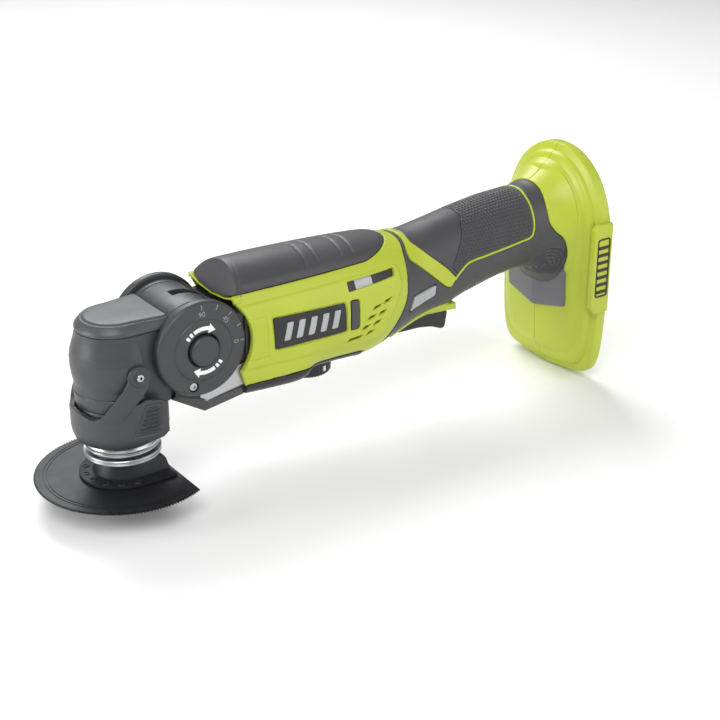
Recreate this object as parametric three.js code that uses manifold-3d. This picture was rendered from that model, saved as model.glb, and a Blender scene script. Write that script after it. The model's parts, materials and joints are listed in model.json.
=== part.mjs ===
// A cordless oscillating multi tool with a tilting head and a half-round saw blade.
//
// Millimetres, +Z up. The tool lies along X: the blade is at -X, the battery dock at +X, and Y is across.
// Every shape is drawn around the head's tilt axis (x = 0, z = 0), and the whole tool is then moved so that
// its origin is the middle of the underside of its bounding box.

import * as THREE from "three";
import { mergeVertices } from "three/addons/utils/BufferGeometryUtils.js";
import Module from "manifold-3d";

const wasm = await Module();
wasm.setup();

// ---------------------------------------------------------------- driving dimensions

const GAP = 0.3; // clearance between pieces that touch
const WALL = 2.6; // thickness of the moulded shells
const OVERMOULD = 2.2; // thickness of the rubber laid over the shells

const SPINDLE_X = -32.4; // spindle axis, ahead of the tilt axis
const BLADE_RADIUS = 42.5;
const BLADE_Z = -63.3; // underside of the blade
const BLADE_THICKNESS = 1.0;
const BLADE_CUT_X = -13; // straight rear edge of the half-round blade
const BLADE_TEETH = 72; // points along the curved edge, tips and roots
const TOOTH_DEPTH = 1.1;

const DRUM_RADIUS = 20.8; // tilt drum of the head
const DRUM_HALF = 14.5;
const NOSE_RADIUS = 21.9; // saddle of the gear case behind the drum
const NOSE_HALF = 18.6;
const DIAL_RADIUS = 23.2;
const DIAL_INNER = 19.2;
const DIAL_OUTER = 24.1;
const FORK_PIVOT_GAP = 2.1; // room for the eccentric bearing's throw in the fork

const COLUMN_BOTTOM = -42.6; // lower end of the head casting
const CAP_SEAM = 12.5; // seam between head casting and cap
const CAP_TOP = 18.3;

const LEVER_PIVOT = [SPINDLE_X, -5.7];
const LEVER_INNER = 21.6; // inside faces of the lever's arms
const LEVER_OUTER = 23.4;

const SHAFT_RADIUS = 2.5;
const MOTOR_RADIUS = 20;
const MOTOR_FRONT = 62;
const MOTOR_REAR = 108;
const FAN_BLADES = 6;

const BODY_FRONT = 19.2; // the shells' front edge, clear of the head when it is tilted fully
const DOCK_REAR = 243.1;
const DOCK_BOTTOM = -77;
const DOCK_TOP = 52.4;
const DOCK_HALF = 39;
const SOCKET = { front: 190, half: 14, bottom: -4, top: 25 }; // room for the battery's stem

const DIAL_X = 71; // speed wheel
const DIAL_Z = -31.6;
const TRIGGER_PIVOT = [120, -19];

// Cross-sections of the body and handle: x, top, bottom, half width, height of the widest line,
// and the powers of the rounded upper and lower halves.
const SECTIONS = [
  [14, 30.5, -30.5, 24.5, -2, 2.1, 3.6],
  [40, 30.2, -31.5, 26.5, -2, 2.1, 3.8],
  [70, 29.2, -32.0, 28.0, -2, 2.1, 3.8],
  [95, 27.8, -30.5, 28.0, -1, 2.1, 3.4],
  [112, 26.5, -27.0, 26.0, 0, 2.1, 2.8],
  [130, 24.0, -22.0, 22.0, 1, 2.1, 2.4],
  [148, 26.5, -19.0, 20.0, 4, 2.1, 2.3],
  [166, 29.3, -16.5, 20.0, 7, 2.1, 2.2],
  [187, 31.8, -12.5, 20.5, 10, 2.1, 2.1],
  [205, 32.8, -11.0, 20.5, 11, 2.1, 2.1],
  [214, 34.0, -14.0, 21.5, 10, 2.1, 2.1],
  [222, 38.0, -22.0, 24.5, 8, 2.2, 2.2],
  [229, 43.0, -31.0, 28.5, 6, 2.3, 2.3],
];

const ROUND = 24; // sides of a large turned piece

// ---------------------------------------------------------------- materials

const finish = (color, roughness, metalness) =>
  new THREE.MeshStandardMaterial({ color, roughness, metalness });
const LIME = finish(0xb7c63b, 0.45, 0);
const RUBBER = finish(0x4b4c50, 0.75, 0);
const DARK = finish(0x2a2b2d, 0.5, 0);
const HEAD_GREY = finish(0x4f5154, 0.45, 0.3);
const CAST = finish(0xa9abad, 0.5, 0.8);
const STEEL = finish(0xc8cacc, 0.3, 1);
const BLACK_STEEL = finish(0x1f2021, 0.5, 0.8);
const COPPER = finish(0xb87333, 0.4, 1);
const CARBON = finish(0x333333, 0.8, 0.1);
const BRONZE = finish(0xa88a4a, 0.5, 0.9);

// ---------------------------------------------------------------- solids

function solid(geometry, tolerance = 1e-4) {
  const bare = geometry.clone();
  bare.deleteAttribute("normal");
  bare.deleteAttribute("uv");
  const merged = mergeVertices(bare, tolerance);
  const position = merged.attributes.position;
  const corners = [];
  let volume = 0;
  const [a, b, c] = [new THREE.Vector3(), new THREE.Vector3(), new THREE.Vector3()];
  for (let i = 0; i < merged.index.count; i += 3) {
    const [p, q, r] = [0, 1, 2].map((k) => merged.index.getX(i + k));
    if (p === q || q === r || r === p) continue;
    corners.push([p, q, r]);
    a.fromBufferAttribute(position, p);
    b.fromBufferAttribute(position, q);
    c.fromBufferAttribute(position, r);
    volume += a.dot(b.cross(c));
  }
  const triVerts = corners.flatMap(([p, q, r]) => (volume > 0 ? [p, q, r] : [p, r, q]));
  return new wasm.Manifold(
    new wasm.Mesh({
      numProp: 3,
      vertProperties: new Float32Array(position.array),
      triVerts: new Uint32Array(triVerts),
    }),
  );
}

function geometryOf(manifold) {
  const mesh = manifold.getMesh();
  const geometry = new THREE.BufferGeometry();
  geometry.setAttribute("position", new THREE.BufferAttribute(mesh.vertProperties, 3));
  geometry.setIndex(new THREE.BufferAttribute(mesh.triVerts, 1));
  geometry.computeVertexNormals();
  return geometry;
}

const union = (...pieces) => pieces.reduce((a, b) => a.add(b));
const cut = (piece, ...tools) => tools.reduce((a, b) => a.subtract(b), piece);

function block(x0, x1, y0, y1, z0, z1) {
  const box = new THREE.BoxGeometry(x1 - x0, y1 - y0, z1 - z0);
  return solid(box.translate((x0 + x1) / 2, (y0 + y1) / 2, (z0 + z1) / 2));
}

function extruded(points, depth) {
  const shape = new THREE.Shape(points.map(([x, y]) => new THREE.Vector2(x, y)));
  return new THREE.ExtrudeGeometry(shape, { depth, bevelEnabled: false, steps: 1 });
}

// A side-view outline of x, z points, from y0 to y1.
function prismY(points, y0, y1) {
  return solid(extruded(points, y1 - y0).rotateX(Math.PI / 2).translate(0, y1, 0));
}

// A plan outline of x, y points, from z0 to z1.
const prismZ = (points, z0, z1) => solid(extruded(points, z1 - z0).translate(0, 0, z0));

// A front-view outline of y, z points, from x0 to x1.
function prismX(points, x0, x1) {
  return solid(extruded(points, x1 - x0).rotateZ(Math.PI / 2).rotateY(Math.PI / 2).translate(x0, 0, 0));
}

// A turned shape: radius and height pairs, around an upright axis at x, y.
function turned(profile, x = 0, y = 0, segments = ROUND) {
  const points = profile.map(([r, z]) => new THREE.Vector2(r, z));
  return solid(new THREE.LatheGeometry(points, segments).rotateX(Math.PI / 2).translate(x, y, 0));
}

// The same around an axis along Y, with the pairs giving radius and y, at x, z.
function turnedY(profile, x = 0, z = 0, segments = ROUND) {
  const points = profile.map(([r, y]) => new THREE.Vector2(r, y));
  return solid(new THREE.LatheGeometry(points, segments).translate(x, 0, z));
}

// The same around an axis along X, with the pairs giving radius and x, at y, z.
function turnedX(profile, y = 0, z = 0, segments = 18) {
  const points = profile.map(([r, x]) => new THREE.Vector2(r, x));
  return solid(new THREE.LatheGeometry(points, segments).rotateZ(-Math.PI / 2).translate(0, y, z));
}

const plug = (radius, from, to) => [[0, from], [radius, from], [radius, to], [0, to]];
const ring = (inner, outer, from, to) => [
  [inner, from], [outer, from], [outer, to], [inner, to], [inner, from],
];
const arc = (radius, from, to, steps, cx = 0, cy = 0) =>
  Array.from({ length: steps + 1 }, (_, i) => {
    const angle = THREE.MathUtils.degToRad(from + ((to - from) * i) / steps);
    return [cx + radius * Math.cos(angle), cy + radius * Math.sin(angle)];
  });

// A closed skin over rings of equal length across X, capped at both ends.
function loft(given) {
  const plan = given[0].map(([, y, z]) => new THREE.Vector2(y, z));
  const rings = THREE.ShapeUtils.isClockWise(plan) ? given.map((points) => [...points].reverse()) : given;
  const count = rings[0].length;
  const position = rings.flat(2);
  const index = [];
  for (let i = 0; i < rings.length - 1; i++) {
    for (let k = 0; k < count; k++) {
      const [a, b] = [i * count + k, i * count + ((k + 1) % count)];
      index.push(a, b, a + count, b, b + count, a + count);
    }
  }
  for (const [start, flip] of [[0, true], [(rings.length - 1) * count, false]]) {
    const end = rings[start / count];
    const flat = end.map(([, y, z]) => new THREE.Vector2(y, z));
    for (const [p, q, r] of THREE.ShapeUtils.triangulateShape(flat, [])) {
      index.push(start + p, start + (flip ? r : q), start + (flip ? q : r));
    }
  }
  const geometry = new THREE.BufferGeometry();
  geometry.setAttribute("position", new THREE.Float32BufferAttribute(position, 3));
  geometry.setIndex(index);
  return solid(geometry);
}

// The biggest of a cut's separate lumps, with vertices closer than a few microns merged.
const biggest = (manifold) => manifold.decompose().sort((a, b) => b.volume() - a.volume())[0];
const largest = (manifold) => biggest(solid(geometryOf(biggest(manifold)), 4e-3));

const part = new THREE.Group();
function add(name, manifold, material) {
  const mesh = new THREE.Mesh(geometryOf(manifold), material);
  mesh.name = name;
  part.add(mesh);
}
const mirrored = (manifold) => manifold.mirror([0, 1, 0]);

// ---------------------------------------------------------------- body and handle surface

// Smooth cross-section values at x: a cubic through the neighbouring stations.
function sectionAt(x) {
  const last = SECTIONS.length - 1;
  const i = Math.min(Math.max(SECTIONS.findIndex((s) => s[0] > x) - 1, 0), last - 1);
  const j = x >= SECTIONS[last][0] ? last - 1 : i;
  const slope = (k, c) => {
    const [lo, hi] = [SECTIONS[Math.max(k - 1, 0)], SECTIONS[Math.min(k + 1, last)]];
    return (hi[c] - lo[c]) / (hi[0] - lo[0]);
  };
  const [a, b] = [SECTIONS[j], SECTIONS[j + 1]];
  const h = b[0] - a[0];
  const t = (x - a[0]) / h;
  return [1, 2, 3, 4, 5, 6].map(
    (c) =>
      (2 * t ** 3 - 3 * t ** 2 + 1) * a[c] +
      (t ** 3 - 2 * t ** 2 + t) * h * slope(j, c) +
      (3 * t ** 2 - 2 * t ** 3) * b[c] +
      (t ** 3 - t ** 2) * h * slope(j + 1, c),
  );
}

const RING_SIDES = 20;
function bodyRing(x, inset, sides) {
  const [top, bottom, half, mid, upper, lower] = sectionAt(x);
  return Array.from({ length: sides }, (_, k) => {
    const angle = (2 * Math.PI * (k + 0.5)) / sides;
    const [c, s] = [Math.cos(angle), Math.sin(angle)];
    const power = 2 / (s > 0 ? upper : lower);
    const height = (s > 0 ? top - mid : mid - bottom) - inset;
    const y = (half - inset) * Math.sign(c) * Math.abs(c) ** power;
    return [x, y, mid + height * Math.sign(s) * Math.abs(s) ** power];
  });
}
const BODY_STEPS = [42, 70, 95, 112, 130, 148, 168, 190, 207, 215, 222];
function bodySolid(inset, from = BODY_FRONT, to = 229, sides = RING_SIDES) {
  const steps = [from, ...BODY_STEPS.filter((x) => x > from + 1 && x < to - 1), to];
  return loft(steps.map((x) => bodyRing(x, inset, sides)));
}
const outer = bodySolid(0);
const bed = bodySolid(OVERMOULD + GAP);
const overmouldInside = bodySolid(OVERMOULD);
const hollow = bodySolid(OVERMOULD + GAP + WALL, 10, 228, 12);

// ---------------------------------------------------------------- battery dock

// The dock's outline, scaled about its middle: a domed top, straight sides and a lower end that narrows.
const DOCK_CORNERS = [
  [0, 1], [0.36, 0.96], [0.7, 0.8], [0.92, 0.58], [1, 0.3], [1, -0.2], [0.985, -0.5], [0.93, -0.76],
  [0.8, -0.93], [0.6, -0.985], [0.28, -1],
];
function dockRing(x, side, up, down, ridge = 0) {
  const [z0, z1] = [DOCK_BOTTOM + down, DOCK_TOP - up];
  const [middle, half] = [(z0 + z1) / 2, (z1 - z0) / 2];
  const right = DOCK_CORNERS.map(([y, z]) => [y * (DOCK_HALF - side), middle + z * half]);
  const left = right.slice(1).reverse().map(([y, z]) => [-y, z]);
  return [...right, ...left].map(([y, z]) => [
    x + ridge * (0.1 * Math.abs(y) + 0.07 * Math.max(0, -18 - z)), y, z,
  ]);
}
const dockOuter = loft([
  dockRing(224, 11, 11, 13, 1),
  dockRing(228.6, 8, 8, 11, 0.4),
  dockRing(232, 5, 4.5, 6),
  dockRing(235, 4, 4, 5),
  dockRing(236, 1, 1, 1.5),
  dockRing(DOCK_REAR, 0, 0, 0),
]);
const dockRecess = loft([
  dockRing(234.2, 10, 10, 12),
  dockRing(238, 6, 6, 8),
  dockRing(DOCK_REAR + 5, 4, 4, 4),
]);
const socket = block(SOCKET.front, DOCK_REAR + 5, -SOCKET.half, SOCKET.half, SOCKET.bottom, SOCKET.top);

// ---------------------------------------------------------------- overmould outlines, side view

const TOP_GRIP = [[17, 20.1], [60, 20.3], [93, 20.8], [103, 22.5], [111, 24.4], [117.5, 26.2], [118, 40], [17, 40]];
const SKIRT = [[23, -24.4], [60, -25.6], [88, -27.2], [88, -29.6], [60, -29.4], [54, -40], [23, -40]];
const HANDLE = [
  [124, 40], [123, 24], [119.5, 17.8], [117.6, 7.4], [116.2, -2.7], [111, -12.4], [106.4, -19.1], [99, -32],
  [150, -32], [224, -40], [221, 7.6], [214.5, 17], [216.8, 40],
];
// An outline moved inwards by a distance, each corner along its bisector.
function inset(outline, distance) {
  const area = THREE.ShapeUtils.area(outline.map(([x, z]) => new THREE.Vector2(x, z)));
  const turn = Math.sign(area);
  return outline.map(([x, z], i) => {
    const before = outline.at(i - 1);
    const after = outline[(i + 1) % outline.length];
    const normal = ([ax, az], [bx, bz]) => {
      const length = Math.hypot(bx - ax, bz - az);
      return [(-(bz - az) / length) * turn, ((bx - ax) / length) * turn];
    };
    const [m, n] = [normal(before, [x, z]), normal([x, z], after)];
    const k = distance / (1 + m[0] * n[0] + m[1] * n[1]);
    return [x + (m[0] + n[0]) * k, z + (m[1] + n[1]) * k];
  });
}

// ---------------------------------------------------------------- openings in the body

const discClearance = turnedY(plug(DIAL_RADIUS + 2.4, -60, 60), 0, 0, ROUND);
const frontSlant = prismY([[10, -18], [19.5, -17], [26, -26], [26, -40], [10, -40]], -60, 60);
const frontRecess = block(10, 23, -18, 18, 13, 30);
const ventSlot = prismY([[79.2, 15.2], [106.4, 16.2], [107.2, 13], [80, 10.6]], -40, 40);
const speedWheelRoom = turned(plug(15, -45, DIAL_Z + 5.4), DIAL_X, 0, 32);
const triggerRoom = prismY(
  [[112, -40], [115, -16], [153.4, -15], [157, -40]], -8.6, 8.6);
const LOCK = [[136.2, -0.8], [134.8, -6], [120.6, -10.4], [123.6, -3.8]];
const lockWindow = prismY(LOCK, -40, 40);
const badgeSeat = prismY([[36, 7.6], [76.6, 6.6], [77.4, -9.2], [36.4, -9.2]], -60, 60);
const BADGE_FACE = 27.4; // outside of the badge from the middle plane

// ---------------------------------------------------------------- housing shells

const overmoulds = [TOP_GRIP, SKIRT, HANDLE];
const bodyOuter = union(
  cut(outer, ...overmoulds.map((outline) => prismY(outline, -60, 60))),
  ...overmoulds.map((outline) => prismY(inset(outline, -0.1), -60, 60).intersect(bed)),
  dockOuter,
);
const badgePocket = cut(badgeSeat, block(0, 120, -24.6, 24.6, -40, 40));
const shell = cut(
  bodyOuter, hollow, dockRecess, socket, discClearance, frontSlant, frontRecess, ventSlot,
  speedWheelRoom, triggerRoom, lockWindow, badgePocket,
  turnedY(plug(1.2, -13, 13), ...TRIGGER_PIVOT, 12),
);
const socketWall = cut(
  block(SOCKET.front - 2.5, 232, -SOCKET.half - 2, SOCKET.half + 2, SOCKET.bottom - 2, SOCKET.top + 2)
    .intersect(bodySolid(OVERMOULD + GAP + 0.5, 180, 229)),
  socket,
);
const SCREW_PLACES = [[52.9, 16], [48, -22], [121, -14], [158, 8], [179, 11]];
const screwBosses = SCREW_PLACES.map(([x, z]) => turnedY(plug(3.6, -24, 24), x, z, 12).intersect(bed));
const motorRoom = turnedX(plug(MOTOR_RADIUS + 2, 28, 118), 0, -1);
const housing = cut(
  union(shell, socketWall, ...screwBosses.map((boss) => cut(boss, motorRoom, triggerRoom))), socket);
const half = (side) =>
  housing.intersect(side < 0 ? block(0, 300, -60, -GAP / 2, -90, 70) : block(0, 300, GAP / 2, 60, -90, 70));
const screwHoles = SCREW_PLACES.map(([x, z]) =>
  union(turnedY(plug(1.3, -18, 60), x, z, 8), turnedY(plug(3.1, 16, 60), x, z, 12)));
add("housing_left", largest(cut(half(-1), ...screwHoles)), LIME);
add("housing_right", largest(cut(half(1), ...screwHoles)), LIME);
SCREW_PLACES.forEach(([x, z], i) => {
  const head = turnedY([[0, -15], [1.0, -15], [1.0, 16.4], [2.6, 16.4], [2.6, 18.2], [0, 18.2]], x, z, 8);
  add(`housing_screw_${i + 1}`, head, BLACK_STEEL);
});

// ---------------------------------------------------------------- overmoulded grips, badges and pads

function grip(outline) {
  return cut(outer.intersect(prismY(inset(outline, GAP), -60, 60)), overmouldInside);
}
add("top_grip", largest(cut(grip(TOP_GRIP), discClearance)), RUBBER);
add("lower_skirt", largest(cut(grip(SKIRT), speedWheelRoom, frontSlant)), DARK);
add("handle_grip", largest(cut(grip(HANDLE), lockWindow, triggerRoom, ...screwHoles)), RUBBER);
for (const [name, side] of [["left", -1], ["right", 1]]) {
  const plate = prismY([[36.6, 7], [76, 6], [76.8, -8.6], [37, -8.6]], 25, BADGE_FACE);
  add(`badge_${name}`, side < 0 ? mirrored(plate) : plate, DARK);
}

// ---------------------------------------------------------------- gear case and chin

const saddle = prismY(
  [...arc(NOSE_RADIUS, 55, 34, 3), [25, 12.2], [25, -13.6], ...arc(NOSE_RADIUS, -39, -110, 7),
    ...arc(DRUM_RADIUS + GAP, -110, 55, 16)],
  -NOSE_HALF, NOSE_HALF);
const arm = turnedY(plug(DRUM_RADIUS, DRUM_HALF + GAP, NOSE_HALF), 0, 0, ROUND);
const inHousing = bodySolid(OVERMOULD + 2 * GAP + WALL + 0.4, 16, 44, 16);
const mount = cut(
  inHousing,
  block(10, 46, -40, 40, 12.2, 40), block(10, 46, -40, 40, -40, -13.6),
  turnedY(plug(DRUM_RADIUS + GAP, -40, 40), 0, 0, ROUND));
const gearCase = cut(
  union(
    saddle.intersect(block(-30, 18.4, -30, 30, -30, 30)), saddle.intersect(inHousing),
    arm, mirrored(arm), mount, turnedX(plug(11.5, 42, 50.6), 0, 0)),
  turnedX(plug(7.8, 24, 60)),
  turnedX(plug(3.4, 10, 60)),
  turnedY(plug(4.2, -30, 30), 0, 0, 24),
);
add("gear_case", largest(cut(gearCase, discClearance.intersect(block(-30, 30, 18.8, 40, -30, 30)))), HEAD_GREY);

const chinRing = (x, top, side, bottom) => [
  [x, 18.6, top], [x, 18.6, side], [x, 14, bottom], [x, -14, bottom], [x, -18.6, side], [x, -18.6, top],
];
const chin = cut(
  loft([
    chinRing(-14, -17, -23, -25.5),
    chinRing(4.2, -17, -29.6, -36),
    chinRing(17.6, -14, -27, -33),
    chinRing(23, -14, -26, -31.4),
  ]),
  turnedY(plug(NOSE_RADIUS + GAP, -40, 40), 0, 0, ROUND),
  turned(plug(23.4, -60, 30), SPINDLE_X, 0, ROUND),
);
add("nose_chin", largest(cut(chin, bodySolid(-0.3).intersect(cut(outer, hollow, frontSlant)))), CAST);

// ---------------------------------------------------------------- tilting head

const COLUMN = [
  [0, COLUMN_BOTTOM], [17.4, COLUMN_BOTTOM], [19.4, -41], [19.4, -24.4], [20.1, -23.9], [20.2, -17.2],
  [19.7, -14], [20.8, -8.5], [21.3, -3.4], [20.9, 1.5], [19.2, 6.4], [17.8, CAP_SEAM], [0, CAP_SEAM],
];
const neck = cut(
  union(
    prismY([[SPINDLE_X, CAP_SEAM], [-16.5, CAP_SEAM], [-14.6, -17], [-17, -24], [SPINDLE_X, -24]], -14.4, 14.4),
    prismY([[-26, CAP_SEAM], [-17, CAP_SEAM], [-21, 5], [-22, -8], [-26, -14]], -18.4, 18.4),
  ),
  turnedY(plug(NOSE_RADIUS + GAP, -40, 40), 0, 0, ROUND),
);
const drum = turnedY(plug(DRUM_RADIUS, -DRUM_HALF, DRUM_HALF), 0, 0, ROUND);
const drumWeb = block(-30, -14, -DRUM_HALF, DRUM_HALF, -15, 11.5);
const shaftSlot = prismY([[0, -3], [30, -3], [26, 26], [-3, 30], [-3, 0]], -2.9, 2.9);
const drumRoom = turnedY(plug(13.5, -11.4, 11.4), 0, 0, 24);
const columnRoom = turned([
  [0, -50], [13.3, -50], [13.3, -15], [15.5, -12], [15.5, 4], [12, 9.5], [0, 9.5]], SPINDLE_X, 0, 20);
const forkTunnel = block(-34, 0, -11.4, 11.4, -8, 8);
const headSolid = cut(
  union(
    cut(turned(COLUMN, SPINDLE_X, 0, ROUND), turnedY(plug(NOSE_RADIUS + GAP, -40, 40), 0, 0, ROUND)),
    neck, drum, drumWeb,
    block(-15.6, -9.8, -6, 6, -42, -27).intersect(turned(plug(22.6, -60, 0), SPINDLE_X, 0, ROUND)),
  ),
  shaftSlot, drumRoom, columnRoom, forkTunnel,
  turnedY(plug(3.3, -30, 30), 0, 0, 24),
  turnedY(plug(2.2, -30, 30), ...LEVER_PIVOT, 16),
);
add("head_housing", largest(headSolid), HEAD_GREY);

const capOutline = (radius, rear, wide) => [
  ...arc(radius, 62, 298, 14, SPINDLE_X), [rear, -wide], [rear, wide],
];
const cap = cut(
  union(
    prismZ(capOutline(17.7, -14.4, 18.8), CAP_SEAM + GAP, 15.8),
    prismZ(capOutline(16.6, -14.1, 18.6), 15.8, 17.2),
    prismZ(capOutline(14.6, -14.1, 16.8), 17.2, CAP_TOP),
  ),
  turnedY(plug(NOSE_RADIUS + GAP, -40, 40), 0, 0, ROUND),
);
add("head_cap", cap, HEAD_GREY);

for (const [name, side] of [["left", -1], ["right", 1]]) {
  const at = (manifold) => (side < 0 ? mirrored(manifold) : manifold);
  const wheel = turnedY([
    [3.0, DIAL_INNER], [DIAL_RADIUS - 0.6, DIAL_INNER], [DIAL_RADIUS, DIAL_INNER + 0.6],
    [DIAL_RADIUS, DIAL_OUTER - 1.6], [DIAL_RADIUS - 1.4, DIAL_OUTER], [14.4, DIAL_OUTER + 0.6],
    [8, DIAL_OUTER + 0.6], [8, 20.8], [3.0, 20.8], [3.0, DIAL_INNER],
  ], 0, 0, ROUND);
  const screwHole = turnedY(plug(2.4, 17, 30), -5.6, -17.6, 16);
  const boss = turnedY([[0, 21], [8.2, 21], [8.2, 24.8], [7.4, 25.8], [0, 25.8]], 0, 0, 24);
  const face = side < 0 ? wheel : union(wheel, boss);
  const cheek = prismY(
    [[-14.1, 17.2], [-27, 10], [-29, -12], [-19.6, -14], ...arc(DIAL_RADIUS - 2, 216, 129, 10)],
    DIAL_INNER, 21.2).intersect(turned(plug(40, -60, 60), 0, 0, 12));
  const clear = turned(plug(21.6, -60, 30), SPINDLE_X, 0, ROUND);
  add(`tilt_dial_${name}`, at(largest(cut(union(face, cut(cheek, clear)), screwHole))), HEAD_GREY);
  add(`dial_screw_${name}`, at(turnedY(
    [[0, 19.6], [2.1, 19.6], [2.1, 22.2], [1.2, 23.6], [0, 23.6]], -5.6, -17.6, 14)), STEEL);
  add(`tilt_pin_${name}`, at(turnedY(plug(2.7, 11.4, 20.4), 0, 0, 16)), STEEL);
}
add("head_lock_button", mirrored(turnedY(
  [[0, 23.6], [7.4, 23.6], [7.4, 26.6], [6.8, 27.2], [0, 27.2]], 0, 0, 24)), HEAD_GREY);

// ---------------------------------------------------------------- spindle, fork and blade

const BEARING = { inner: 5.6, outer: 13, height: 6.5 };
for (const [name, z] of [["upper_spindle_bearing", -15.5], ["lower_spindle_bearing", -36]]) {
  add(name, turned(ring(BEARING.inner, BEARING.outer, z - BEARING.height, z), SPINDLE_X, 0, 20), STEEL);
}
add("bearing_collar", turned([
  [7.2, -47.7], [17.6, -47.7], [17.6, -44.4], [16.6, -43.2], [7.2, -43.2], [7.2, -47.7],
], SPINDLE_X, 0, ROUND), STEEL);
add("spindle", turned(ring(3.3, 5.2, -53.8, 2), SPINDLE_X, 0, 20), STEEL);
add("output_flange", turned([
  [5.5, -48.1], [12, -48.1], [12, -48.9], [18.2, -48.9], [18.2, -51.6], [16.4, -52.2], [5.5, -52.2], [5.5, -48.1],
], SPINDLE_X, 0, ROUND), STEEL);

const ECCENTRIC_BEARING = 6.5; // outside radius
const FORK_HALF = 9.9;
const forkArm = block(-26, 4.5, ECCENTRIC_BEARING + FORK_PIVOT_GAP, FORK_HALF, -4, 4);
const fork = cut(
  union(
    turned(plug(8.6, -5, 5), SPINDLE_X, 0, 20),
    block(SPINDLE_X, -22, -6, 6, -4, 4),
    block(-26, -20, -FORK_HALF, FORK_HALF, -4, 4),
    forkArm, mirrored(forkArm),
  ),
  turned(plug(5.5, -10, 10), SPINDLE_X, 0, 20),
);
add("oscillation_fork", fork, BRONZE);

const hubFlat = (radius, half, z0, z1) => prismZ(
  [...arc(radius, 90, 270, 12, SPINDLE_X).map(([x, y]) => [x, (y * half) / radius]), [-15, -half], [-15, half]],
  z0, z1);
const HUB_TOP = -52.8;
const hubRing = (radius, half, rear, z) => [
  ...arc(radius, 90, 270, 12, SPINDLE_X).map(([x, y]) => [x, (y * half) / radius, z]),
  [rear, -half, z], [rear, half, z],
];
function upright(rings) {
  // rings are given at heights; the loft's caps are cut from the plan view
  const turnedRings = rings.map((points) => points.map(([x, y, z]) => [z, x, y]));
  const lofted = geometryOf(loft(turnedRings));
  const position = lofted.attributes.position;
  for (let i = 0; i < position.count; i++) {
    const [z, x, y] = [position.getX(i), position.getY(i), position.getZ(i)];
    position.setXYZ(i, x, y, z);
  }
  return solid(lofted);
}
const hubFlangeTop = BLADE_Z + BLADE_THICKNESS + GAP + 1.2;
const hub = cut(
  union(
    hubFlat(21.3, 20.8, BLADE_Z + BLADE_THICKNESS + GAP, hubFlangeTop),
    upright([
      hubRing(14.6, 14.4, -15, hubFlangeTop - 0.6),
      hubRing(12.8, 13, -16.4, HUB_TOP - 1.4),
      hubRing(11.4, 11.6, -17.8, HUB_TOP),
    ]),
  ),
  upright([
    hubRing(13.2, 13, -10, hubFlangeTop - 3),
    hubRing(11.6, 11.8, -10, HUB_TOP - 1.6),
  ]),
  turned(plug(5.6, -70, -40), SPINDLE_X, 0, 16),
);
add("blade_hub", largest(hub), BLACK_STEEL);

const toothed = Array.from({ length: BLADE_TEETH + 1 }, (_, i) => {
  const angle = THREE.MathUtils.degToRad(60 + (240 * i) / BLADE_TEETH);
  const radius = i % 2 ? BLADE_RADIUS - TOOTH_DEPTH : BLADE_RADIUS;
  return [SPINDLE_X + radius * Math.cos(angle), radius * Math.sin(angle)];
});
const blade = cut(
  prismZ(toothed, BLADE_Z, BLADE_Z + BLADE_THICKNESS),
  block(BLADE_CUT_X, 40, -60, 60, -80, -40),
  turned(plug(6.2, -70, -40), SPINDLE_X, 0, 16),
);
add("saw_blade", blade, BLACK_STEEL);

add("clamp_plunger", turned([
  [0, -57], [8, -57], [8, -55.2], [2.9, -54.7], [2.9, 5], [0, 5],
], SPINDLE_X, 0, 16), STEEL);
const springTurns = 4;
const springCurve = new THREE.CatmullRomCurve3(
  Array.from({ length: springTurns * 8 + 1 }, (_, i) => {
    const angle = (2 * Math.PI * i) / 8;
    return new THREE.Vector3(
      SPINDLE_X + 7.2 * Math.cos(angle), 7.2 * Math.sin(angle), -34.4 + (10.8 * i) / (springTurns * 8));
  }));
const wire = new THREE.Shape(arc(0.8, 0, 270, 3).map(([x, y]) => new THREE.Vector2(x, y)));
add("clamp_spring", solid(new THREE.ExtrudeGeometry(wire, {
  steps: springTurns * 8, bevelEnabled: false, extrudePath: springCurve,
})), STEEL);

// ---------------------------------------------------------------- clamp lever

const [leverX, leverZ] = LEVER_PIVOT;
const leverArmOutline = [
  ...arc(5.3, -20, 160, 12, leverX, leverZ), [-41, -11.6], [-52, -24], [-52, -33], [-36, -33], [-28.4, -8.4],
];
const leverTip = [[-41, -11.6], [-52, -24], [-52, -33], [-39, -33]];
const leverArm = union(
  prismY(leverArmOutline, LEVER_INNER, LEVER_OUTER), prismY(leverTip, LEVER_INNER - 8, LEVER_OUTER),
).intersect(turned(plug(24.6, -60, 30), SPINDLE_X, 0, 36));
const bandOuter = turned([
  [0, -43.7], [20.6, -43.7], [22.4, -39.2], [22.7, -34], [22.6, -29.8], [21.9, -24.4], [0, -24.4],
], SPINDLE_X, 0, ROUND);
const bandInner = turned(plug(20.5, -60, 0), SPINDLE_X, 0, ROUND);
const notch = prismX([[-14, -20], [-11, -26.2], [11, -26.2], [14, -20]], -60, SPINDLE_X);
const bandReach = prismY([[-60, -20], [-30, -20], [-19, -24.4], [-17, -46], [-60, -46]], -40, 40);
const sideBlock = prismY([[-40, -24], [-30.5, -17], [-27.5, -24.6], [-19.2, -24.4], [-18.4, -40.5], [-36, -43]],
  LEVER_INNER - 4.6, LEVER_OUTER);
const betweenArms = block(SPINDLE_X, 0, -20.7, 20.7, -60, 0);
const headClearance = turned(plug(20.5, -60, 30), SPINDLE_X, 0, ROUND);
const armClearance = turned(plug(21.55, -24.2, 30), SPINDLE_X, 0, ROUND);
const lever = cut(
  union(
    cut(bandOuter.intersect(bandReach), notch),
    leverArm, mirrored(leverArm), sideBlock, mirrored(sideBlock)),
  bandInner, headClearance, armClearance, betweenArms,
  turnedY(plug(2.4, -30, 30), leverX, leverZ, 16),
);
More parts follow.
